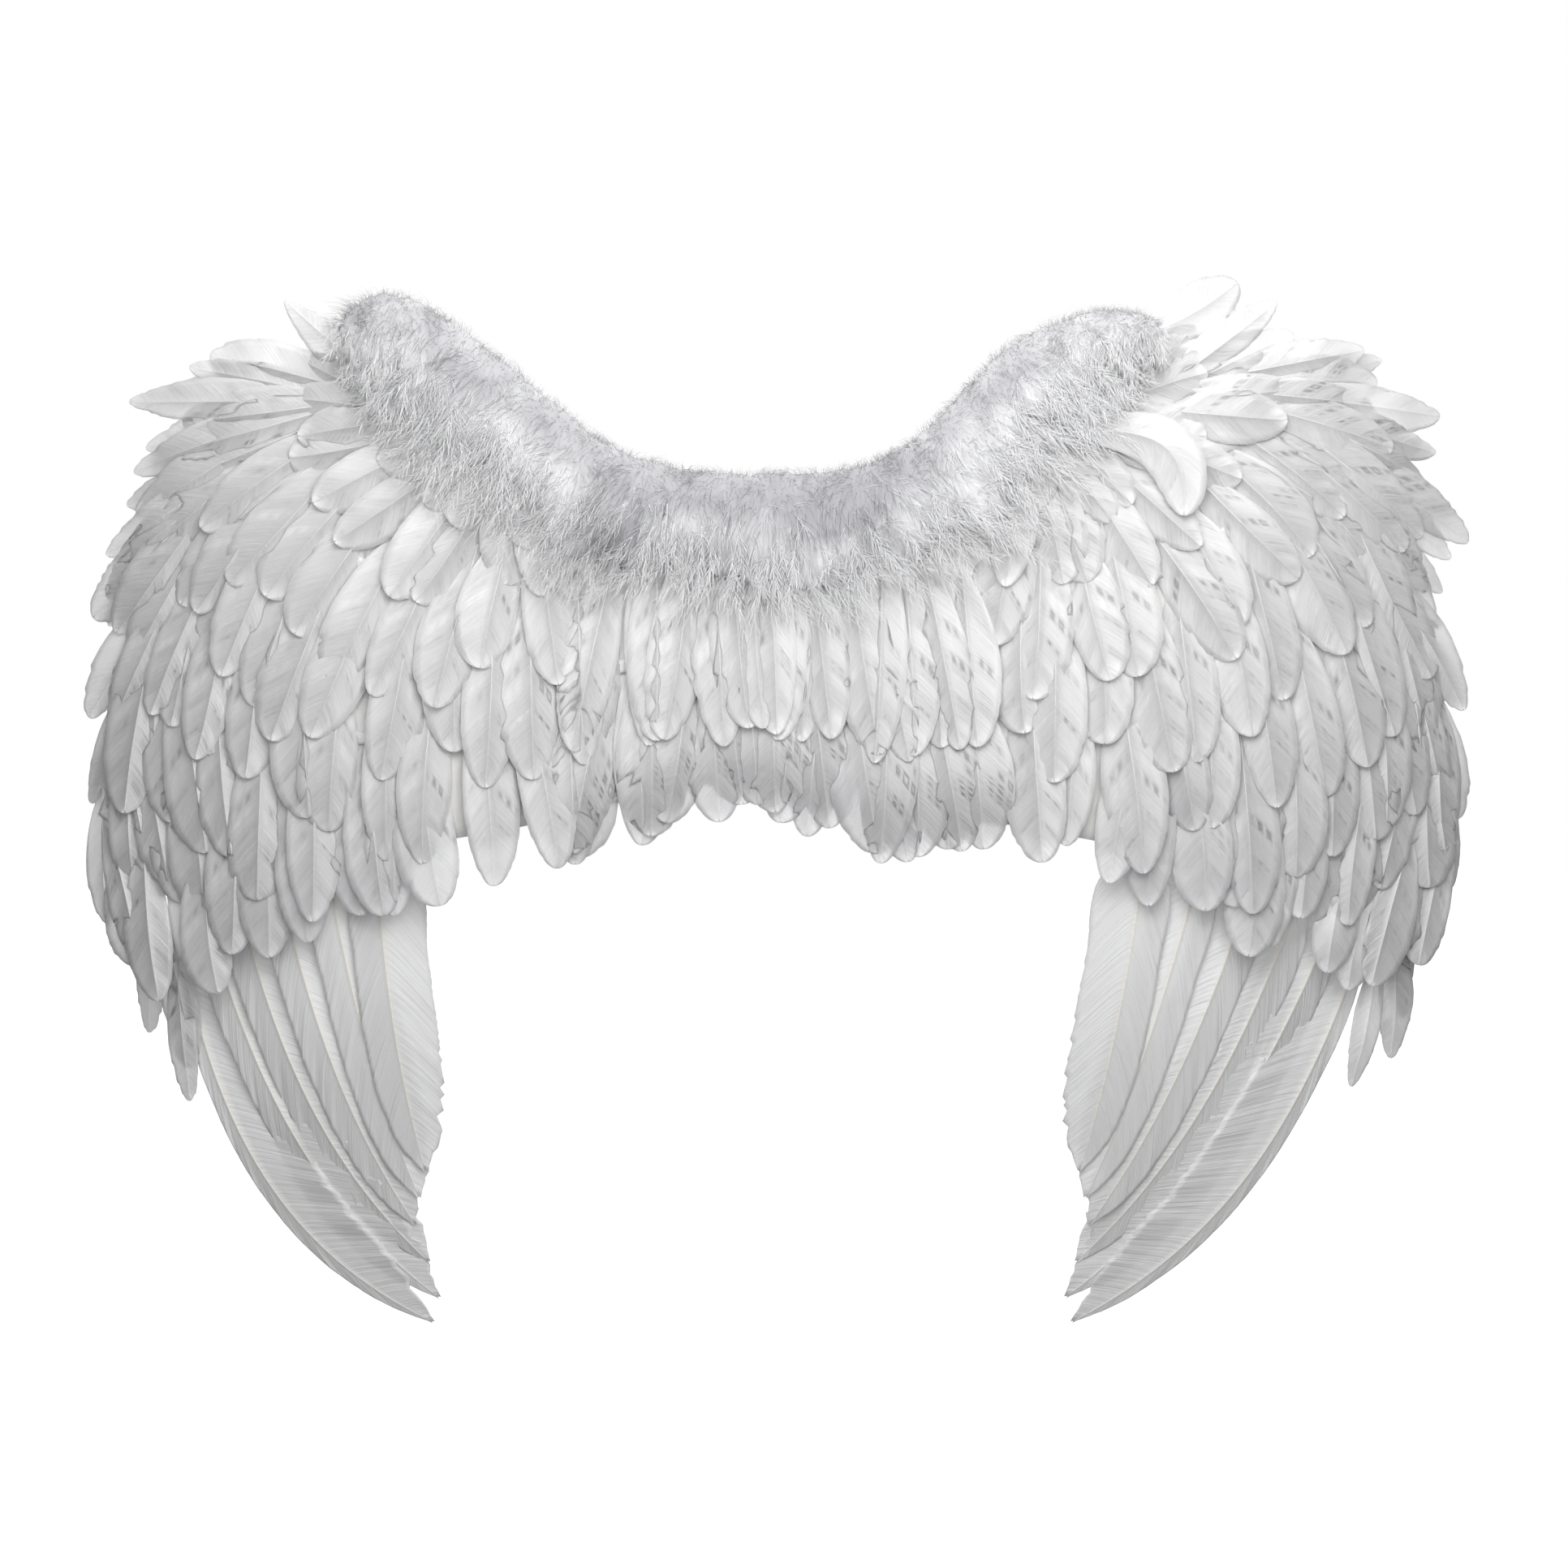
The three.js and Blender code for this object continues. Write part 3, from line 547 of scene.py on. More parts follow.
# Edge rows: narrow feathers behind the outer edge, the lower ones sunk further back
edgeRow = {"count": 10, "between": (6.5, 7.5, 8.5), "length": 84, "width": 24, "sinkFrom": 0.5, "sink": 2.5,
           "tipDeg": (-2, 12, 28, 41, 50, 58, 64), "tipRadius": (210, 252, 299, 348, 393, 442, 479)}
for wingName, wing in wings.items():
    i = np.concatenate([np.arange(edgeRow["count"]), edgeRow["between"]])
    f = i / (edgeRow["count"] - 1)
    key = wing["seed"] + layout["edgeKeys"] + i * layout["featherKeys"]
    at = f * (len(edgeRow["tipDeg"]) - 1)
    deg = np.interp(at, np.arange(len(edgeRow["tipDeg"])), edgeRow["tipDeg"])
    radius = np.interp(at, np.arange(len(edgeRow["tipRadius"])), edgeRow["tipRadius"])
    root, tip = fanned(wing, deg, radius, np.zeros(len(i)), edgeRow["length"], key)
    low = -form["felt"] - layout["rootDepth"] - edgeRow["sink"] * smooth(edgeRow["sinkFrom"], 1, f)
    blades = bladeArrays(root, tip, np.full(len(i), edgeRow["width"] / 2), key,
                         layout["lift"] * scatter(key + 6), np.ones(len(i)), wing["side"])
    blades["pressedAbove"] = np.inf
    sewn = slice(0, edgeRow["count"])
    makeRow("edge", wingName, blades, lambda x, z: each(low) + 0 * x, root[sewn],
            low[sewn] - quillTape["thickness"] / 2)
print("edge rows made")

# Centre rows: feathers that hang between the wings, with tips on a low arch. The lower row's tips carry more
# painted shade than the rest.
centreRows = {
    "upper": {"span": 128, "rootMid": 82, "rootEnd": 50, "tipMid": -56, "tipEnd": -66, "count": 11,
              "width": 35, "curl": 2.4, "grey": 0},
    "lower": {"span": 132, "rootMid": 6, "rootEnd": -24, "tipMid": -101, "tipEnd": -128, "count": 11,
              "width": 42, "curl": 11, "grey": 0.25},
}
centreArch = {"x": -20, "halfWidth": 90, "fanDeg": 5, "stretch": 0.05, "pressedAbove": -70, "seed": 155}
for rowName, size in centreRows.items():
    i = np.concatenate([np.arange(size["count"]), np.arange(0.5, size["count"] - 1)])
    f = 2 * i / (size["count"] - 1) - 1
    key = centreArch["seed"] + i * layout["featherKeys"]
    drop = smooth(0, centreArch["halfWidth"], np.abs(size["span"] * f - centreArch["x"]))
    rootZ = between(size["rootMid"], size["rootEnd"], f ** 2)
    length = rootZ - size["tipMid"] - (size["tipEnd"] - size["tipMid"]) * drop
    lean = np.radians(centreArch["fanDeg"] * f)
    turn = lean + np.radians(layout["turnDeg"] * scatter(key))
    stretched = length * (1 + centreArch["stretch"] * scatter(key + 1))
    root = np.stack([size["span"] * f - np.sin(lean) * length, rootZ], -1)
    tip = root + np.stack([np.sin(turn), -np.cos(turn)], -1) * stretched[:, None]
    lift = np.where(i % 1 > 0, -layout["under"], layout["lift"] * scatter(key + 6))
    blades = bladeArrays(root, tip, np.full(len(i), size["width"] / 2), key, lift, np.zeros(len(i)),
                         np.where(f < 0, -1, 1))
    blades["curl"] = blades["curl"] + size["curl"]
    blades["grey"] = blades["grey"] + size["grey"]
    blades["pressedAbove"] = centreArch["pressedAbove"]
    hang = lambda x, z: layout["rootDepth"] + layout["slope"] * np.maximum(0, each(rootZ) - z)
    sewn = root[1:size["count"] - 1]
    seams.append(sewn)
    makeRow("centre", rowName, blades, hang, sewn, form["gap"])
print("centre rows made")

# The feather that stands up out of the right shoulder, and rises with the distance from its root. A painted
# shade darkens it towards its tip.
stray = {"root": (214, 184), "tip": (286, 224), "bow": -4, "width": 31, "depth": 2.4, "slope": 0.03,
         "key": 77, "grey": 0.9}
strayDepth = lambda x, z: stray["depth"] + stray["slope"] * np.hypot(
    x - stray["root"][0], z - stray["root"][1])
makePiece("stray_feather_right", [loneFeather(stray, strayDepth)], covertMaterial,
          ["covert_stray_right"])
print("stray feather made")

# Flight feathers: long stiff vanes with rippled barbs, stair-stepped towards the tip on the inner side
flightLook = {
    "start": 0.015, "rows": 96, "vane": (0, 0.12, 0.26, 0.42, 0.58, 0.74, 0.88, 1), "sweep": 1.5,
    "shaftRadius": 1.4, "shaftShow": 0.8, "ridge": 0.5, "thickness": 0.3, "roof": 0.16, "roofSpread": 0.03,
    "settle": 0.35, "curve": 0.001, "curl": 1.2, "curlSpread": 0.6, "roll": 0.01, "tilt": 0.14,
    "waves": ((4.3, 0.06), (7.9, 0.15), (17, 0.26), (43, 0.4)), "clump": (5, 16), "clumpLift": 0.25,
    "seed": 21, "keys": 3, "fray": 0.01, "step": 0.32, "outerStep": 0.12, "stepEarly": 0.12,
    "earlyAt": (0.2, 0.5), "stepAt": (0.55, 0.95), "outerAt": (0.75, 1),
    "sectionAt": (0, 0.12, 0.22, 0.44, 0.65, 0.82, 0.93, 1),
    "sectionShare": (0, 0.2, 0.88, 1, 1, 0.86, 0.54, 0.03),
}
flightLook["at"] = np.linspace(flightLook["start"], 1, flightLook["rows"])
flightLook["share"] = spline(flightLook["sectionAt"], flightLook["sectionShare"], flightLook["at"])
flightKeys = ("rootX", "rootZ", "tipX", "tipZ", "bow", "outer", "inner", "twist")
flights = [dict(zip(flightKeys, row)) for row in (
    (244, -88, 212, -322, 6, 19, 26, 0.3),
    (279, -92, 216, -339, 7, 17, 27, 0.5),
    (312, -98, 219, -356, 13, 16, 28, 1),
    (341, -106, 211, -380, 23, 15, 30, 1.8),
    (364, -118, 205, -403, 28, 13, 32, 2.6),
    (380, -132, 209, -419, 43, 8, 34, 2.9),
)]
flightStack = {"middle": 308, "start": 1.4, "step": 2.3}

# the barbs of the inner side are stair-stepped from the middle on, those of the outer side only at the tip
flightEarly = smooth(*flightLook["earlyAt"], flightLook["at"])
flightInner = flightLook["step"] * stepShow(flightLook, flightEarly)
flightOuter = flightLook["outerStep"] * smooth(*flightLook["outerAt"], flightLook["at"])
for wingName, wing in wings.items():
    for k, size in enumerate(flights):
        rootX = between(flightStack["middle"], size["rootX"], wing["flightSpread"])
        root = np.array([[wing["side"] * rootX, size["rootZ"]]], float)
        tip = np.array([[wing["side"] * (size["tipX"] + wing["flightTip"]), size["tipZ"]]], float)
        right = wing["side"] > 0
        back = -form["felt"] - flightStack["start"] - k * flightStack["step"]
        seed = flightLook["seed"] + wing["seed"] + k
        short, clumpLift, fray = clumped(flightLook, np.linalg.norm(tip - root, axis=1), seed)
        sides = np.stack([flightInner, flightOuter] if right else [flightOuter, flightInner], -1)
        blade = {
            "root": root, "tip": tip, "grey": 0, "pressedAbove": np.inf, "twist": size["twist"],
            "twistAt": wing["twistAt"], "lift": np.zeros(1), "point": np.zeros(1), "curl": 0,
            "clumpLift": clumpLift, "ragged": short * sides + fray,
            "key": np.array([wing["seed"] * flightLook["keys"] + k], float),
            "bow": np.array([wing["side"] * wing["flightBow"] * size["bow"]]),
            "plus": np.array([size["outer" if right else "inner"]], float),
            "minus": np.array([size["inner" if right else "outer"]], float),
            "tilt": np.array([wing["side"] * flightLook["tilt"]]),
        }
        feather = featherChunk(blade, flightLook, lambda x, z: back + 0 * x)
        makePiece(f"flight_vane_{wingName}_{k + 1}", [feather], flightMaterial,
                  [f"flight_feather_{wingName}_{k + 1}"])
print("flight feathers made")


# Turns the faces of a closed chunk round if its volume, summed over triangles from the origin, is negative
def facingOut(chunk):
    quads, tris = chunk["quads"], chunk.get("tris", np.zeros((0, 3), int))
    corners = chunk["points"][np.concatenate([quads[:, [0, 1, 2]], quads[:, [0, 2, 3]], tris])]
    if np.einsum("ij,ij->", corners[:, 0], np.cross(corners[:, 1], corners[:, 2])) < 0:
        chunk["quads"], chunk["tris"] = quads[:, ::-1], tris[:, ::-1]
    return chunk


# A closed tube through rings of points, with a fan of triangles from the middle of each end ring
def tubeChunk(rings, uv, tone):
    count, sides = rings.shape[:2]
    points = np.concatenate([rings.reshape(-1, 3), rings[[0, -1]].mean(1)])
    k = np.arange(sides)
    ahead = (k + 1) % sides
    last = (count - 1) * sides
    low = np.stack([np.full(sides, count * sides), ahead, k], -1)
    high = np.stack([np.full(sides, count * sides + 1), last + k, last + ahead], -1)
    uv = np.concatenate([uv.reshape(-1, 2), uv[[0, -1]].mean(1)])
    tone = np.concatenate([np.broadcast_to(tone, rings.shape[:2]).ravel(), [0, 0]])
    return facingOut({"points": points, "quads": tubeQuads(count, sides), "tris": np.concatenate([low, high]),
                      "uv": uv, "tone": tone})


strand = {"taper": 0.8, "across": (0.36, 0.8, 0.48)}  # across lies along no strand


# Fine strands: each follows a parabola as a tapering prism of three sides
def strandChunk(start, control, end, radius, tone, segments=4):
    u = np.linspace(0, 1, segments + 1)[None, :, None]
    path, tangent = parabola(u, start[:, None], control[:, None], end[:, None])
    tangent = unit(tangent + 1e-9)
    side = unit(np.cross(tangent, np.array(strand["across"])))
    up = np.cross(tangent, side)
    angle = np.arange(3) * 2 * np.pi / 3
    round3 = np.cos(angle)[:, None] * side[:, :-1, None] + np.sin(angle)[:, None] * up[:, :-1, None]
    thick = (each(radius) * (1 - strand["taper"] * u))[:, :-1, None]
    rings = path[:, :-1, None] + thick * round3
    count = len(rings)
    points = np.concatenate([rings.reshape(count, -1, 3), path[:, -1:]], 1)
    last, tip = 3 * segments - 3, 3 * segments
    ends = np.array([[last, last + 1, tip], [last + 1, last + 2, tip], [last + 2, last, tip], [0, 2, 1]])
    shaft = np.concatenate([np.repeat(u[0, :-1, 0], 3), [1.0]])
    uv = np.stack(np.broadcast_arrays(shaft[None], tone[:, None]), -1)
    return {"points": points.reshape(-1, 3), "quads": repeated(tubeQuads(segments, 3), count, tip + 1),
            "tris": repeated(ends, count, tip + 1), "uv": uv.reshape(-1, 2),
            "shaft": np.tile(shaft, count), "tone": np.repeat(tone, tip + 1)}


# Marabou: strands that are grey in the depth of the pile and pale at their tips, a painted shade, with a
# darker shade where the tone, which carries painted light and shade, and a slow noise are low. The normals
# lean out to the front, less and less towards the back, so that the fluff shades evenly.
def marabouMaterial(name, look):
    _, _, add, dress = startMaterial(name, look)
    streak = noise(add, grainOf(add), 3, stretch=look["streakScale"])
    rough = bumped(add, streak, look["streakBump"], 0.001)
    back = add("ShaderNodeSeparateXYZ", [(0, rough)]).outputs["Y"]
    lean = add("ShaderNodeMapRange", [("Value", back), ("From Min", look["leanFrom"]),
                                      ("From Max", look["leanTo"]), ("To Min", -look["outward"]),
                                      ("To Max", 0)]).outputs[0]
    outward = add("ShaderNodeCombineXYZ", [("Y", lean)]).outputs[0]
    facing = add("ShaderNodeVectorMath", [(0, rough), (1, look["facing"]), (2, outward)],
                 operation="MULTIPLY_ADD").outputs[0]
    even = add("ShaderNodeVectorMath", [(0, facing)], operation="NORMALIZE").outputs[0]
    where = add("ShaderNodeTexCoord").outputs["Object"]
    # colour by the depth in the pile, a painted shade: greyer at the roots, pale at the tips
    depth = mixColours(add, marked(add, "shaft"), look["root"], look["tip"])
    grey = weighed(add, noise(add, where, 2, look["driftScale"]), look["drift"], marked(add, "tone"))
    return dress(mixColours(add, grey, look["shade"], depth), even)


fluff = marabouMaterial("marabou_fluff", {
    "roughness": 0.75, "sheen": 0.3, "streakScale": (40, 3, 1), "streakBump": 0.15, "outward": 0.65,
    "facing": (0.35, 0.35, 0.35), "leanFrom": -0.1, "leanTo": 0.7, "driftScale": 55, "drift": 0.8,
    "root": (0.93, 0.93, 0.945, 1), "tip": (0.99, 0.99, 0.99, 1), "shade": (0.43, 0.43, 0.45, 1),
})

# The trim's centre line along the neckline, the lengths it is sewn on in and its section. Lumps and skirt
# waves are sines. Pale and rise are smoothsteps of the tone along the line and in height, a painted light and
# shade. Each hollow, a painted shadow, is a place along the line, a width, a height and a depth of tone.
trim = {
    "x": (-260, -226, -192, -152, -108, -60, 0, 60, 103, 138, 166, 202, 236),
    "z": (192, 188, 167, 135, 102, 86, 82, 87, 108, 142, 169, 188, 193),
    "lengths": {"left": (0, 4.035), "centre": (4.035, 7.965), "right": (7.965, 12)},
    "halfHeight": 27, "front": 34, "back": 9.5, "flatten": 0.82, "sink": 15, "core": 0.88, "seed": 40,
    "rings": 150, "sides": 28, "skirt": 1.35, "midSkirt": 1.65, "skirtMiddle": 6, "skirtAt": (1.5, 3.5),
    "skirtWaves": ((3.1, 1, 0.22), (7.7, 2, 0.16)), "leftTaper": 0.7, "rightTaper": 2.4, "leastTaper": 0.01,
    "lump": 0.06, "lumps": ((9, 2, 0), (23, -3, 2), (41, 5, 4)), "tone": -0.32, "hollowHeight": 0.45,
    "pale": ((5, 3, 0.2), (7, 9, 0.15), (10, 11.4, 0.25)), "rise": ((0.3, -0.8, 0.85), (0.8, 1, 0.15)),
    "hollowShades": ((4.45, 0.45, -0.6, 1.1), (6.7, 0.6, -0.1, 0.8), (2.2, 0.5, -0.2, 0.5),
                (5.6, 0.35, -0.8, 0.6)),
}
pile = {
    "count": 5000, "fromDeg": -70, "toDeg": 215, "radius": 0.144, "combUntil": (90, 125), "comb": (0.15, 0.6),
    "lean": 4, "swirl": 4, "endLean": 8, "endReach": 0.1, "reach": (0.06, 0.24), "foot": 0.92, "bend": 0.98,
    "bendLean": 0.3, "tone": (-0.1, 0.2),
}
plume = {
    "count": 262, "fromDeg": -90, "toDeg": 25, "radius": 0.156, "lieUntil": (75, 125), "lieDepth": 16,
    "lieSpread": 9, "standSpread": 3, "fan": 0.5, "parting": -21, "partingWidth": 45, "fanUntil": (90, 190),
    "waySpread": 0.5, "shortReach": 18, "reachAt": (0, 1, 2, 3, 4, 6, 8, 9, 10, 11, 12),
    "reach": (14, 24, 40, 46, 38, 34, 38, 46, 40, 24, 14), "reachSpread": (0.5, 1.4), "foot": 0.95,
    "bend": (0.85, 1.1), "bendLean": 5, "bendShare": 0.75, "tone": (0.4, 1),
}
wisp = {
    "count": 22, "radius": 0.21, "until": 0.92, "facing": (0.1, -1, 0.15), "openDeg": (14, 58), "close": 0.4,
    "outSpread": 0.5, "size": 6, "grow": 0.3, "sizeSpread": (0.6, 1.2), "shrink": 0.3, "bend": 0.5,
    "away": 0.6, "fall": 0.08, "clear": 10, "toneSpread": 0.1,
}


# the trim's centre line, its direction from a small step ahead, and the direction across it
def trimFrame(t):
    spans = np.arange(len(trim["x"]))
    at = lambda t: np.stack([spline(spans, trim["x"], t), spline(spans, trim["z"], t)], -1)
    line = at(t)
    run = unit(at(t + 0.01) - line)
    return line, run, quarter(run)


# the core's size: rounded at the left end of the neckline, thinning out slowly to the right one and full
# between them, with lumps from sines
def trimCore(t, angle):
    left, right = t / trim["leftTaper"], (len(trim["x"]) - 1 - t) / trim["rightTaper"]
    fullness = np.sqrt(np.clip(np.minimum(left, right), trim["leastTaper"], 1))
    lumps = sum(np.sin(along * t + turns * angle + phase) for along, turns, phase in trim["lumps"])
    return trim["core"] * fullness * (1 + trim["lump"] * lumps / 3)


# the tone, painted light and shade: the shoulders are paler than the middle of the neckline and the right end
# is the palest, the lower wisps are pale, and the hollows are darker with painted shadow, each a bell curve
# along the line and in height
def trimTone(t, angle):
    rise = np.sin(angle)
    hollowShade = sum(deep * np.exp(-((t - at) / wide) ** 2 - ((rise - level) / trim["hollowHeight"]) ** 2)
                 for at, wide, level, deep in trim["hollowShades"])
    tone = sum(size * smooth(low, high, t) for low, high, size in trim["pale"]) + trim["tone"]
    return sum((size * smooth(low, high, rise) for low, high, size in trim["rise"]), tone) - hollowShade


# the depth of the oval section: its middle plus the cosine of the angle times half of its depth
def trimDepth(angle, size):
    half = trim["flatten"] * (trim["front"] - trim["back"]) / 2
    return (trim["front"] + trim["back"]) / 2 + np.cos(angle) * half * size


# a point on the section scaled by a size, moved along the line by a lean: an oval drawn out and sunk below,
# further in the middle of the neckline
def trimPoint(t, angle, size, lean=0):
    line, run, up = trimFrame(t)
    below = np.minimum(np.sin(angle), 0)
    outer = smooth(*trim["skirtAt"], np.abs(t - trim["skirtMiddle"]))
    skirt = between(trim["midSkirt"], trim["skirt"], outer)
    skirt = sum((size * np.sin(along * t + phase) for along, phase, size in trim["skirtWaves"]), skirt)
    high = trim["halfHeight"] * size * (np.maximum(np.sin(angle), 0) + skirt * below)
    flat = line + up * high[:, None] + run * np.reshape(lean, (-1, 1))
    return place(flat[:, 0], flat[:, 1], trimDepth(angle, size) - trim["sink"] * below ** 2)


# places spread evenly along a length of the trim, and angles round it in a random order. An angle is 0 at the
# front and 90 degrees at the top
def spreadOut(rng, low, high, strands):
    count = strands["count"]
    t = low + (high - low) * (np.arange(count) + rng.random(count)) / count
    return t, np.radians(rng.permutation(np.linspace(strands["fromDeg"], strands["toDeg"], count)))


# the core: a tube whose rings follow the section
def coreChunk(low, high):
    rings, sides = trim["rings"], trim["sides"]
    t = np.repeat(np.linspace(low, high, rings), sides)
    turn = np.tile(np.linspace(0, 2 * np.pi, sides, endpoint=False), rings)
    core = trimPoint(t, turn, trimCore(t, turn)).reshape(rings, sides, 3)
    grain = np.stack([t, np.abs(turn - np.pi)], -1).reshape(rings, sides, 2)
    return tubeChunk(core, grain, trimTone(t, turn).reshape(rings, sides))


# Pile: short strands out of the core, combed down in front, swirled by two sines along the line and leaning
# out over the ends of a length
def pileChunk(rng, low, high):
    count = pile["count"]
    t, angle = spreadOut(rng, low, high, pile)
    down = 1 - smooth(*np.radians(pile["combUntil"]), angle)
    swirl = np.sin(5.1 * t + 2 * angle) + np.sin(8.3 * t - 3 * angle + 1)
    ends = np.exp(-(t - low) / pile["endReach"]) - np.exp(-(high - t) / pile["endReach"])
    lean = pile["lean"] * rng.normal(0, 1, count) + pile["swirl"] * swirl - pile["endLean"] * ends
    core = trimCore(t, angle)
    full = core + rng.uniform(*pile["reach"], count)
    combed = angle - down * rng.uniform(*pile["comb"], count)
    foot = trimPoint(t, angle, core * pile["foot"])
    bend = trimPoint(t, angle, full * pile["bend"], lean * pile["bendLean"])
    tone = trimTone(t, angle) + rng.uniform(*pile["tone"], count)
    return strandChunk(foot, bend, trimPoint(t, combed, full, lean), np.full(count, pile["radius"]), tone, 2)


# Plumes: parabolas that lie down over the coverts, away from a parting, or stand up short on top. Each has
# barbs on both sides, which open from its own direction and close towards its tip.
def plumeChunks(rng, low, high):
    count, barbs = plume["count"], wisp["count"]
    t, angle = spreadOut(rng, low, high, plume)
    line, run, up = trimFrame(t)
    lies = 1 - smooth(*np.radians(plume["lieUntil"]), angle)
    fan = plume["fan"] * np.tanh((line[:, 0] - plume["parting"]) / plume["partingWidth"])
    fan = fan * (1 - smooth(*plume["fanUntil"], np.abs(line[:, 0])))
    way = lies * (np.pi - fan) + rng.normal(0, plume["waySpread"], count)
    aim = np.cos(way)[:, None] * up + np.sin(way)[:, None] * run
    longest = np.interp(t, plume["reachAt"], plume["reach"])
    short = np.minimum(longest, plume["shortReach"])
    reach = between(short, longest, lies) * rng.uniform(*plume["reachSpread"], count)
    foot = trimPoint(t, angle, trimCore(t, angle) * plume["foot"])
    tipFlat = foot[:, [0, 2]] + aim * reach[:, None]
    lying = plume["lieDepth"] + rng.uniform(0, plume["lieSpread"], count)
    standing = trimDepth(angle, trim["core"]) + rng.normal(0, plume["standSpread"], count)
    tip = place(tipFlat[:, 0], tipFlat[:, 1], np.where(lies > 0.5, lying, standing))
    bend = trimPoint(t, angle, rng.uniform(*plume["bend"], count), rng.normal(0, plume["bendLean"], count))
    bend = bend * plume["bendShare"] + (foot + tip) * (1 - plume["bendShare"]) / 2
    # the plumes are paler than the pile: partly their own colour, partly a painted light on wisps that lie in
    # shade
    tone = trimTone(t, angle) + rng.uniform(*plume["tone"], count)
    shafts = strandChunk(foot, bend, tip, np.full(count, plume["radius"]), tone, 6)

    s = ((np.arange(barbs) + rng.random((count, barbs))) / barbs * wisp["until"])[..., None]
    start, ahead = parabola(s, foot[:, None], bend[:, None], tip[:, None])
    ahead = unit(ahead)
    side = unit(np.cross(ahead, np.array(wisp["facing"])))
    out = np.cross(side, ahead)
    hand = np.where(np.arange(barbs) % 2, 1, -1)[None, :, None]
    opened = np.radians(rng.uniform(*wisp["openDeg"], s.shape)) * (1 - wisp["close"] * s)
    sideways = hand * side + out * rng.normal(0, wisp["outSpread"], s.shape)
    away = np.cos(opened) * ahead + np.sin(opened) * sideways
    size = each(wisp["size"] + wisp["grow"] * reach) * rng.uniform(*wisp["sizeSpread"], s.shape)
    size = size * (1 - wisp["shrink"] * s)
    control = start + away * size * wisp["bend"]
    end = start + (away * wisp["away"] + ahead * (1 - wisp["away"])) * size
    end = end + np.array([0, 0, -wisp["fall"]]) * size
    end[..., 1] = np.minimum(end[..., 1], surfaceY(end[..., 0], end[..., 2]) - wisp["clear"])
    tones = tone[:, None] + rng.normal(0, wisp["toneSpread"], (count, barbs))
    return shafts, strandChunk(start.reshape(-1, 3), control.reshape(-1, 3), end.reshape(-1, 3),
                               np.full(count * barbs, wisp["radius"]), tones.ravel(), 3)


for name, (low, high) in trim["lengths"].items():
    rng = np.random.default_rng(trim["seed"] + len(name))
    chunks = [coreChunk(low, high), pileChunk(rng, low, high), *plumeChunks(rng, low, high)]
    makePiece(f"marabou_fluff_{name}", chunks, fluff, [f"marabou_trim_{name}"])
print("marabou made")


# Felt: matted short fibres over a soft mottle
def feltMaterial(name, look):
    _, _, add, dress = startMaterial(name, look)
    where = add("ShaderNodeTexCoord").outputs["Object"]
    fibre = noise(add, where, 4, look["fibreScale"], distortion=look["matting"])
    both = weighed(add, fibre, 0.5, noise(add, where, 2, look["mottleScale"]))
    colour = mixColours(add, both, look["shade"], look["light"])
    return dress(colour, bumped(add, fibre, look["bump"], 0.0006))


# Elastic: lengthwise ribs crossed by finer rows of the weave
def elasticMaterial(name, look):
    _, _, add, dress = startMaterial(name, look)
    grain = grainOf(add)
    rib = add("ShaderNodeTexWave", [("Vector", grain), ("Scale", look["ribScale"])], bands_direction="X")
    row = add("ShaderNodeTexWave", [("Vector", grain), ("Scale", look["rowScale"]), ("Distortion", 0.6)],
              bands_direction="Y")
    weave = weighed(add, row.outputs["Fac"], 0.5, rib.outputs["Fac"])
    colour = mixColours(add, noise(add, grain, 3, look["wearScale"]), look["shade"], look["light"])
    return dress(colour, bumped(add, weave, look["bump"], 0.0004))


felt = feltMaterial("felt", {
    "roughness": 0.95, "sheen": 0.35, "fibreScale": 700, "matting": 2.5, "mottleScale": 40, "bump": 0.5,
    "shade": (0.74, 0.735, 0.72, 1), "light": (0.88, 0.875, 0.86, 1),
})
elastic = elasticMaterial("elastic", {
    "roughness": 0.7, "sheen": 0.25, "ribScale": 0.21, "rowScale": 0.33, "wearScale": 0.15, "bump": 0.6,
    "shade": (0.80, 0.80, 0.80, 1), "light": (0.9, 0.9, 0.9, 1),
})

# Felt panel behind the feathers: heights of its upper and lower edge at stations out from the middle
panel = {
    "x": (0, 60, 110, 155, 200, 250, 300, 345, 380, 408), "rows": 137, "columns": 31, "ripple": 0.25,
    "top": (92, 93, 108, 142, 174, 184, 168, 124, 62, -24),
    "bottom": (-78, -84, -98, -110, -118, -132, -146, -154, -148, -116), "margin": 6, "samples": 400,
}


# upper and lower edge of the panel: curves through the stations, alike on both sides
def panelEdges(x):
    out = np.minimum(np.abs(x), panel["x"][-1])
    return (spline(panel["x"], panel[edge], out) for edge in ("top", "bottom"))


# The panel: x runs along it and z from the lower edge to the upper. The back lies the felt's thickness behind
# the front, with a faint ripple of two crossed sines.
def panelChunk():
    x = np.linspace(-panel["x"][-1], panel["x"][-1], panel["rows"])[:, None]
    top, bottom = panelEdges(x)
    z = between(bottom, top, np.linspace(0, 1, panel["columns"])[None, :])
    x = x + 0 * z
    ripple = panel["ripple"] * np.sin(x / 17 + z / 29) * np.sin(z / 13 - x / 41)
    return sheetChunk(place(x, z, 0), place(x, z, ripple - form["felt"]))


stitch = {"pitch": 5.2, "length": 3.4, "radius": 0.28, "rise": 0.5, "tone": 0.5}


# Stitches on a surface seen from behind: each a short parabola of thread that rises by the height
def stitchChunk(starts, ends):
    control = (starts + ends) / 2 + np.array([0, 2 * stitch["rise"], 0])
    radius, tone = (np.full(len(starts), stitch[size]) for size in ("radius", "tone"))
    return strandChunk(starts, control, ends, radius, tone, 3)


# start and end of each stitch, one to a pitch, along a polyline in x and z
def stitchLine(line):
    length, on = measured(line)
    at = np.arange(0, length - stitch["length"], stitch["pitch"])
    return on(at), on(at + stitch["length"])


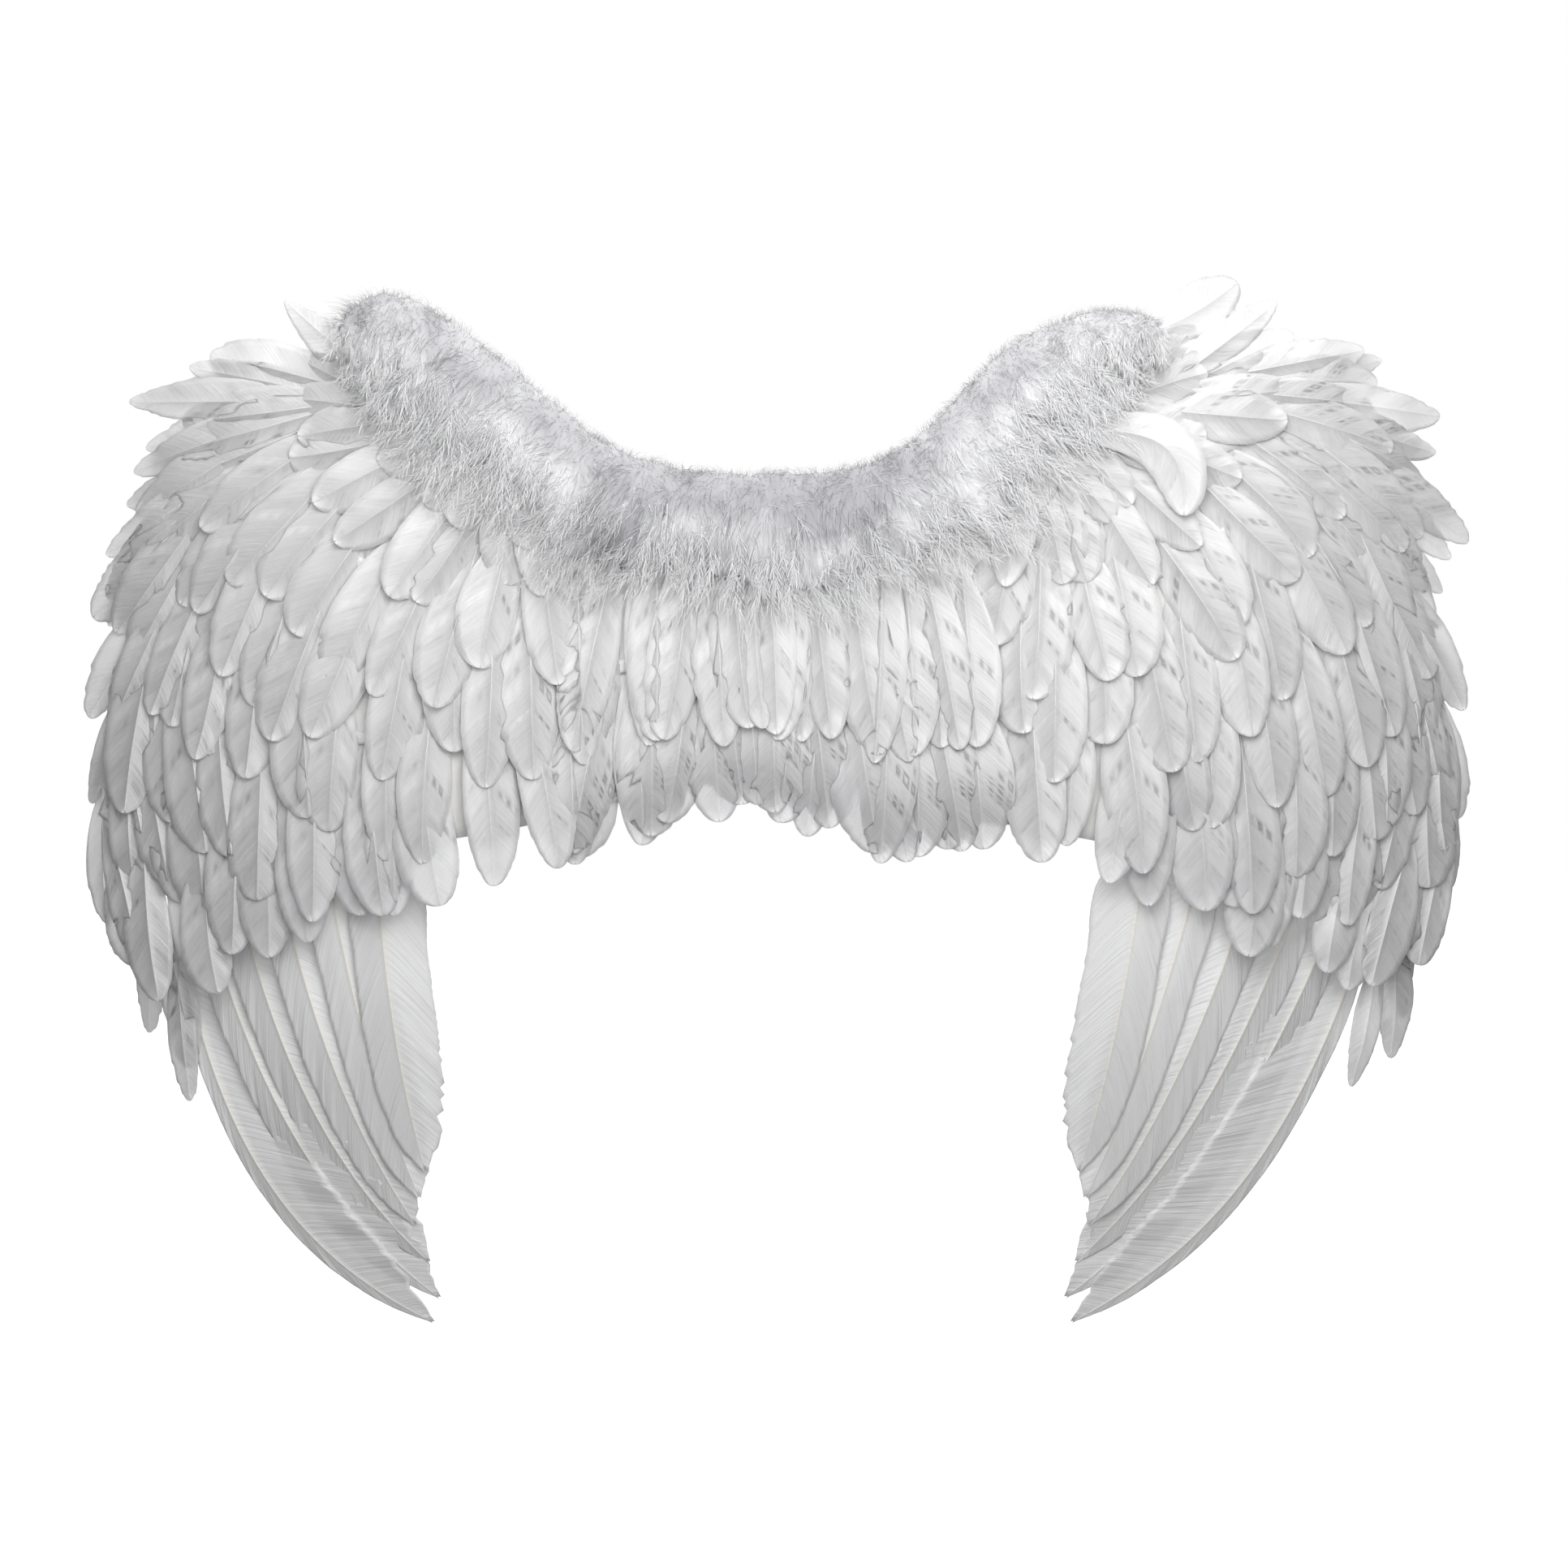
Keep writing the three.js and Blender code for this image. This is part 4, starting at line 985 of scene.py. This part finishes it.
# the seams show on the panel's back wherever they lie inside its outline
def seamChunk(line):
    starts, ends = stitchLine(line)
    high, low = panelEdges(starts[:, 0])
    inside = (starts[:, 1] < high - panel["margin"]) & (starts[:, 1] > low + panel["margin"])
    kept = inside & (np.abs(starts[:, 0]) < panel["x"][-1] - panel["margin"])
    behind = -form["felt"] + panel["ripple"]
    return stitchChunk(*(place(p[kept, 0], p[kept, 1], behind) for p in (starts, ends)))


feltPanel = makePiece("felt_panel", [panelChunk()], felt, ["backing_panel"])
panelStitches = makePiece("panel_stitches", [seamChunk(line) for line in seams], elastic)
flatX = np.linspace(-panel["x"][-1], panel["x"][-1], panel["samples"])
high, low = panelEdges(flatX)

# Shoulder straps: flat elastic, a tab sewn to the panel at each end and a half oval loop between
strap = {"x": 80, "width": 22, "thickness": 2, "halfHeight": 66, "reach": 112, "tab": 16, "samples": 200,
         "step": 2, "round": 4, "sides": 24, "square": 0.25, "edge": 0.8, "inset": 3, "drop": 1}


# y of a strap's side that lies on the panel's back
def strapY(x):
    return surfaceY(x, 0 * x) + form["felt"] + form["gap"]


# The path is a line, a half oval and a line, sampled evenly and rounded by a running mean. The section is a
# superellipse as wide as the elastic, set on the outward normal
def strapChunk(side):
    turn = np.linspace(0, np.pi, strap["samples"])
    oval = np.stack([strap["reach"] * np.sin(turn), strap["halfHeight"] * np.cos(turn)], -1)
    end = np.array([[0, strap["halfHeight"] + strap["tab"]]])
    length, on = measured(np.concatenate([end, oval, -end]))
    at = np.linspace(0, length, int(length / strap["step"]))
    path = on(at)
    wide = 2 * strap["round"] + 1
    kernel = np.hanning(wide + 2)[1:-1] / np.hanning(wide + 2).sum()
    spare = 2 * path[:1] - path[strap["round"]:0:-1], 2 * path[-1:] - path[-2:-2 - strap["round"]:-1]
    padded = np.concatenate([spare[0], path, spare[1]])
    path = np.stack([np.convolve(padded[:, k], kernel, "valid") for k in (0, 1)], -1)
    normal = quarter(unit(np.gradient(path, axis=0)))
    angle = np.linspace(0, 2 * np.pi, strap["sides"], endpoint=False)
    wide = np.sign(np.cos(angle)) * np.abs(np.cos(angle)) ** strap["square"] * strap["width"] / 2
    thick = (1 + np.sign(np.sin(angle)) * np.abs(np.sin(angle)) ** strap["edge"]) * strap["thickness"] / 2
    flat = path[:, None] + normal[:, None] * thick[None, :, None]
    x = side * strap["x"] + np.broadcast_to(wide, flat.shape[:2])
    uv = np.stack(np.broadcast_arrays(wide[None], at[:, None]), -1)
    return tubeChunk(np.stack([x, strapY(x) + flat[..., 0], flat[..., 1]], -1), uv, stitch["tone"])


# a box of stitches through each tab into the panel
def tabStitches(side):
    half, high = strap["width"] / 2 - strap["inset"], strap["tab"] / 2 - strap["inset"]
    box = np.array([(-half, -high), (half, -high), (half, high), (-half, high), (-half, -high)])
    chunks = []
    for end in (1, -1):
        middle = np.array([side * strap["x"], end * (strap["halfHeight"] + strap["tab"] / 2 + strap["drop"])])
        starts, ends = (np.stack([p[:, 0], strapY(p[:, 0]) + strap["thickness"], p[:, 1]], -1)
                        for p in stitchLine(middle + box))
        chunks.append(stitchChunk(starts, ends))
    return chunks


for wingName, wing in wings.items():
    chunks = [strapChunk(wing["side"]), *tabStitches(wing["side"])]
    makePiece(f"elastic_strap_{wingName}", chunks, elastic, [f"shoulder_strap_{wingName}"])
print("straps made")

# Camera level with the wings, at the photograph's framing
view = {"x": 9, "z": -83, "width": 966, "lens": 85, "sensor": 36}
camera = addObject("camera", bpy.data.cameras.new("camera"))
camera.data.lens = view["lens"]
camera.data.sensor_width = view["sensor"]
camera.location = Vector((view["x"], -view["width"] * view["lens"] / view["sensor"], view["z"])) * mm
camera.rotation_euler = (np.pi / 2, 0, 0)
bpy.context.scene.camera = camera
bpy.context.scene.view_settings.view_transform = "Standard"

# Studio: a floor that glows as a backdrop, a pale surround and soft lights above, in front and behind
studio = {"floorZ": -900, "floorSize": 60000, "surround": 0.2, "lights": {
    "key": {"at": (70, -540, 430), "aim": (10, 0, 40), "size": (820, 620), "power": 3.8},
    "front": {"at": (80, -950, 180), "aim": (10, 0, 30), "size": (1200, 1200), "power": 6.6},
    "rear": {"at": (0, 750, 450), "aim": (0, 0, 0), "size": (800, 600), "power": 7},
}}
for lightName, light in studio["lights"].items():
    lamp = addObject(f"{lightName}_light", bpy.data.lights.new(f"{lightName}_light", "AREA"))
    lamp.data.shape = "RECTANGLE"
    lamp.data.size, lamp.data.size_y = (side * mm for side in light["size"])
    lamp.data.energy = light["power"]
    lamp.location = Vector(light["at"]) * mm
    lamp.rotation_euler = (Vector(light["aim"]) * mm - lamp.location).to_track_quat("-Z", "Y").to_euler()

# the surround lights the scene by its strength, and the camera sees it as white
world = bpy.data.worlds.new("surround")
bpy.context.scene.world = world
world.use_nodes = True
nodes = world.node_tree.nodes
glow, seen = nodes["Background"], nodes.new("ShaderNodeBackground")
glow.inputs["Color"].default_value = seen.inputs["Color"].default_value = (1, 1, 1, 1)
glow.inputs["Strength"].default_value = studio["surround"]
pick = nodes.new("ShaderNodeMixShader")
isCamera = nodes.new("ShaderNodeLightPath").outputs["Is Camera Ray"]
for socket, value in enumerate((isCamera, glow.outputs[0], seen.outputs[0])):
    world.node_tree.links.new(value, pick.inputs[socket])
world.node_tree.links.new(pick.outputs[0], nodes["World Output"].inputs[0])

half = studio["floorSize"] / 2
floorMesh = bpy.data.meshes.new("floor")
floorCorners = np.array([(-half, -half), (half, -half), (half, half), (-half, half)])
floorPoints = np.column_stack([floorCorners, np.full(4, studio["floorZ"])]) * mm
floorMesh.from_pydata(floorPoints.tolist(), [], [(0, 1, 2, 3)])
floor = addObject("floor", floorMesh)
floorPaint, floorShader, _, _ = startMaterial("floor_paint", {"roughness": 0.9, "sheen": 0})
floorShader.inputs["Base Color"].default_value = (0.9, 0.9, 0.9, 1)
floorShader.inputs["Emission Color"].default_value = (1, 1, 1, 1)
floorShader.inputs["Emission Strength"].default_value = 1
floorMesh.materials.append(floorPaint)
floor.visible_diffuse = False  # its glow is for the backdrop alone
floor.visible_glossy = False

print("scene ready")
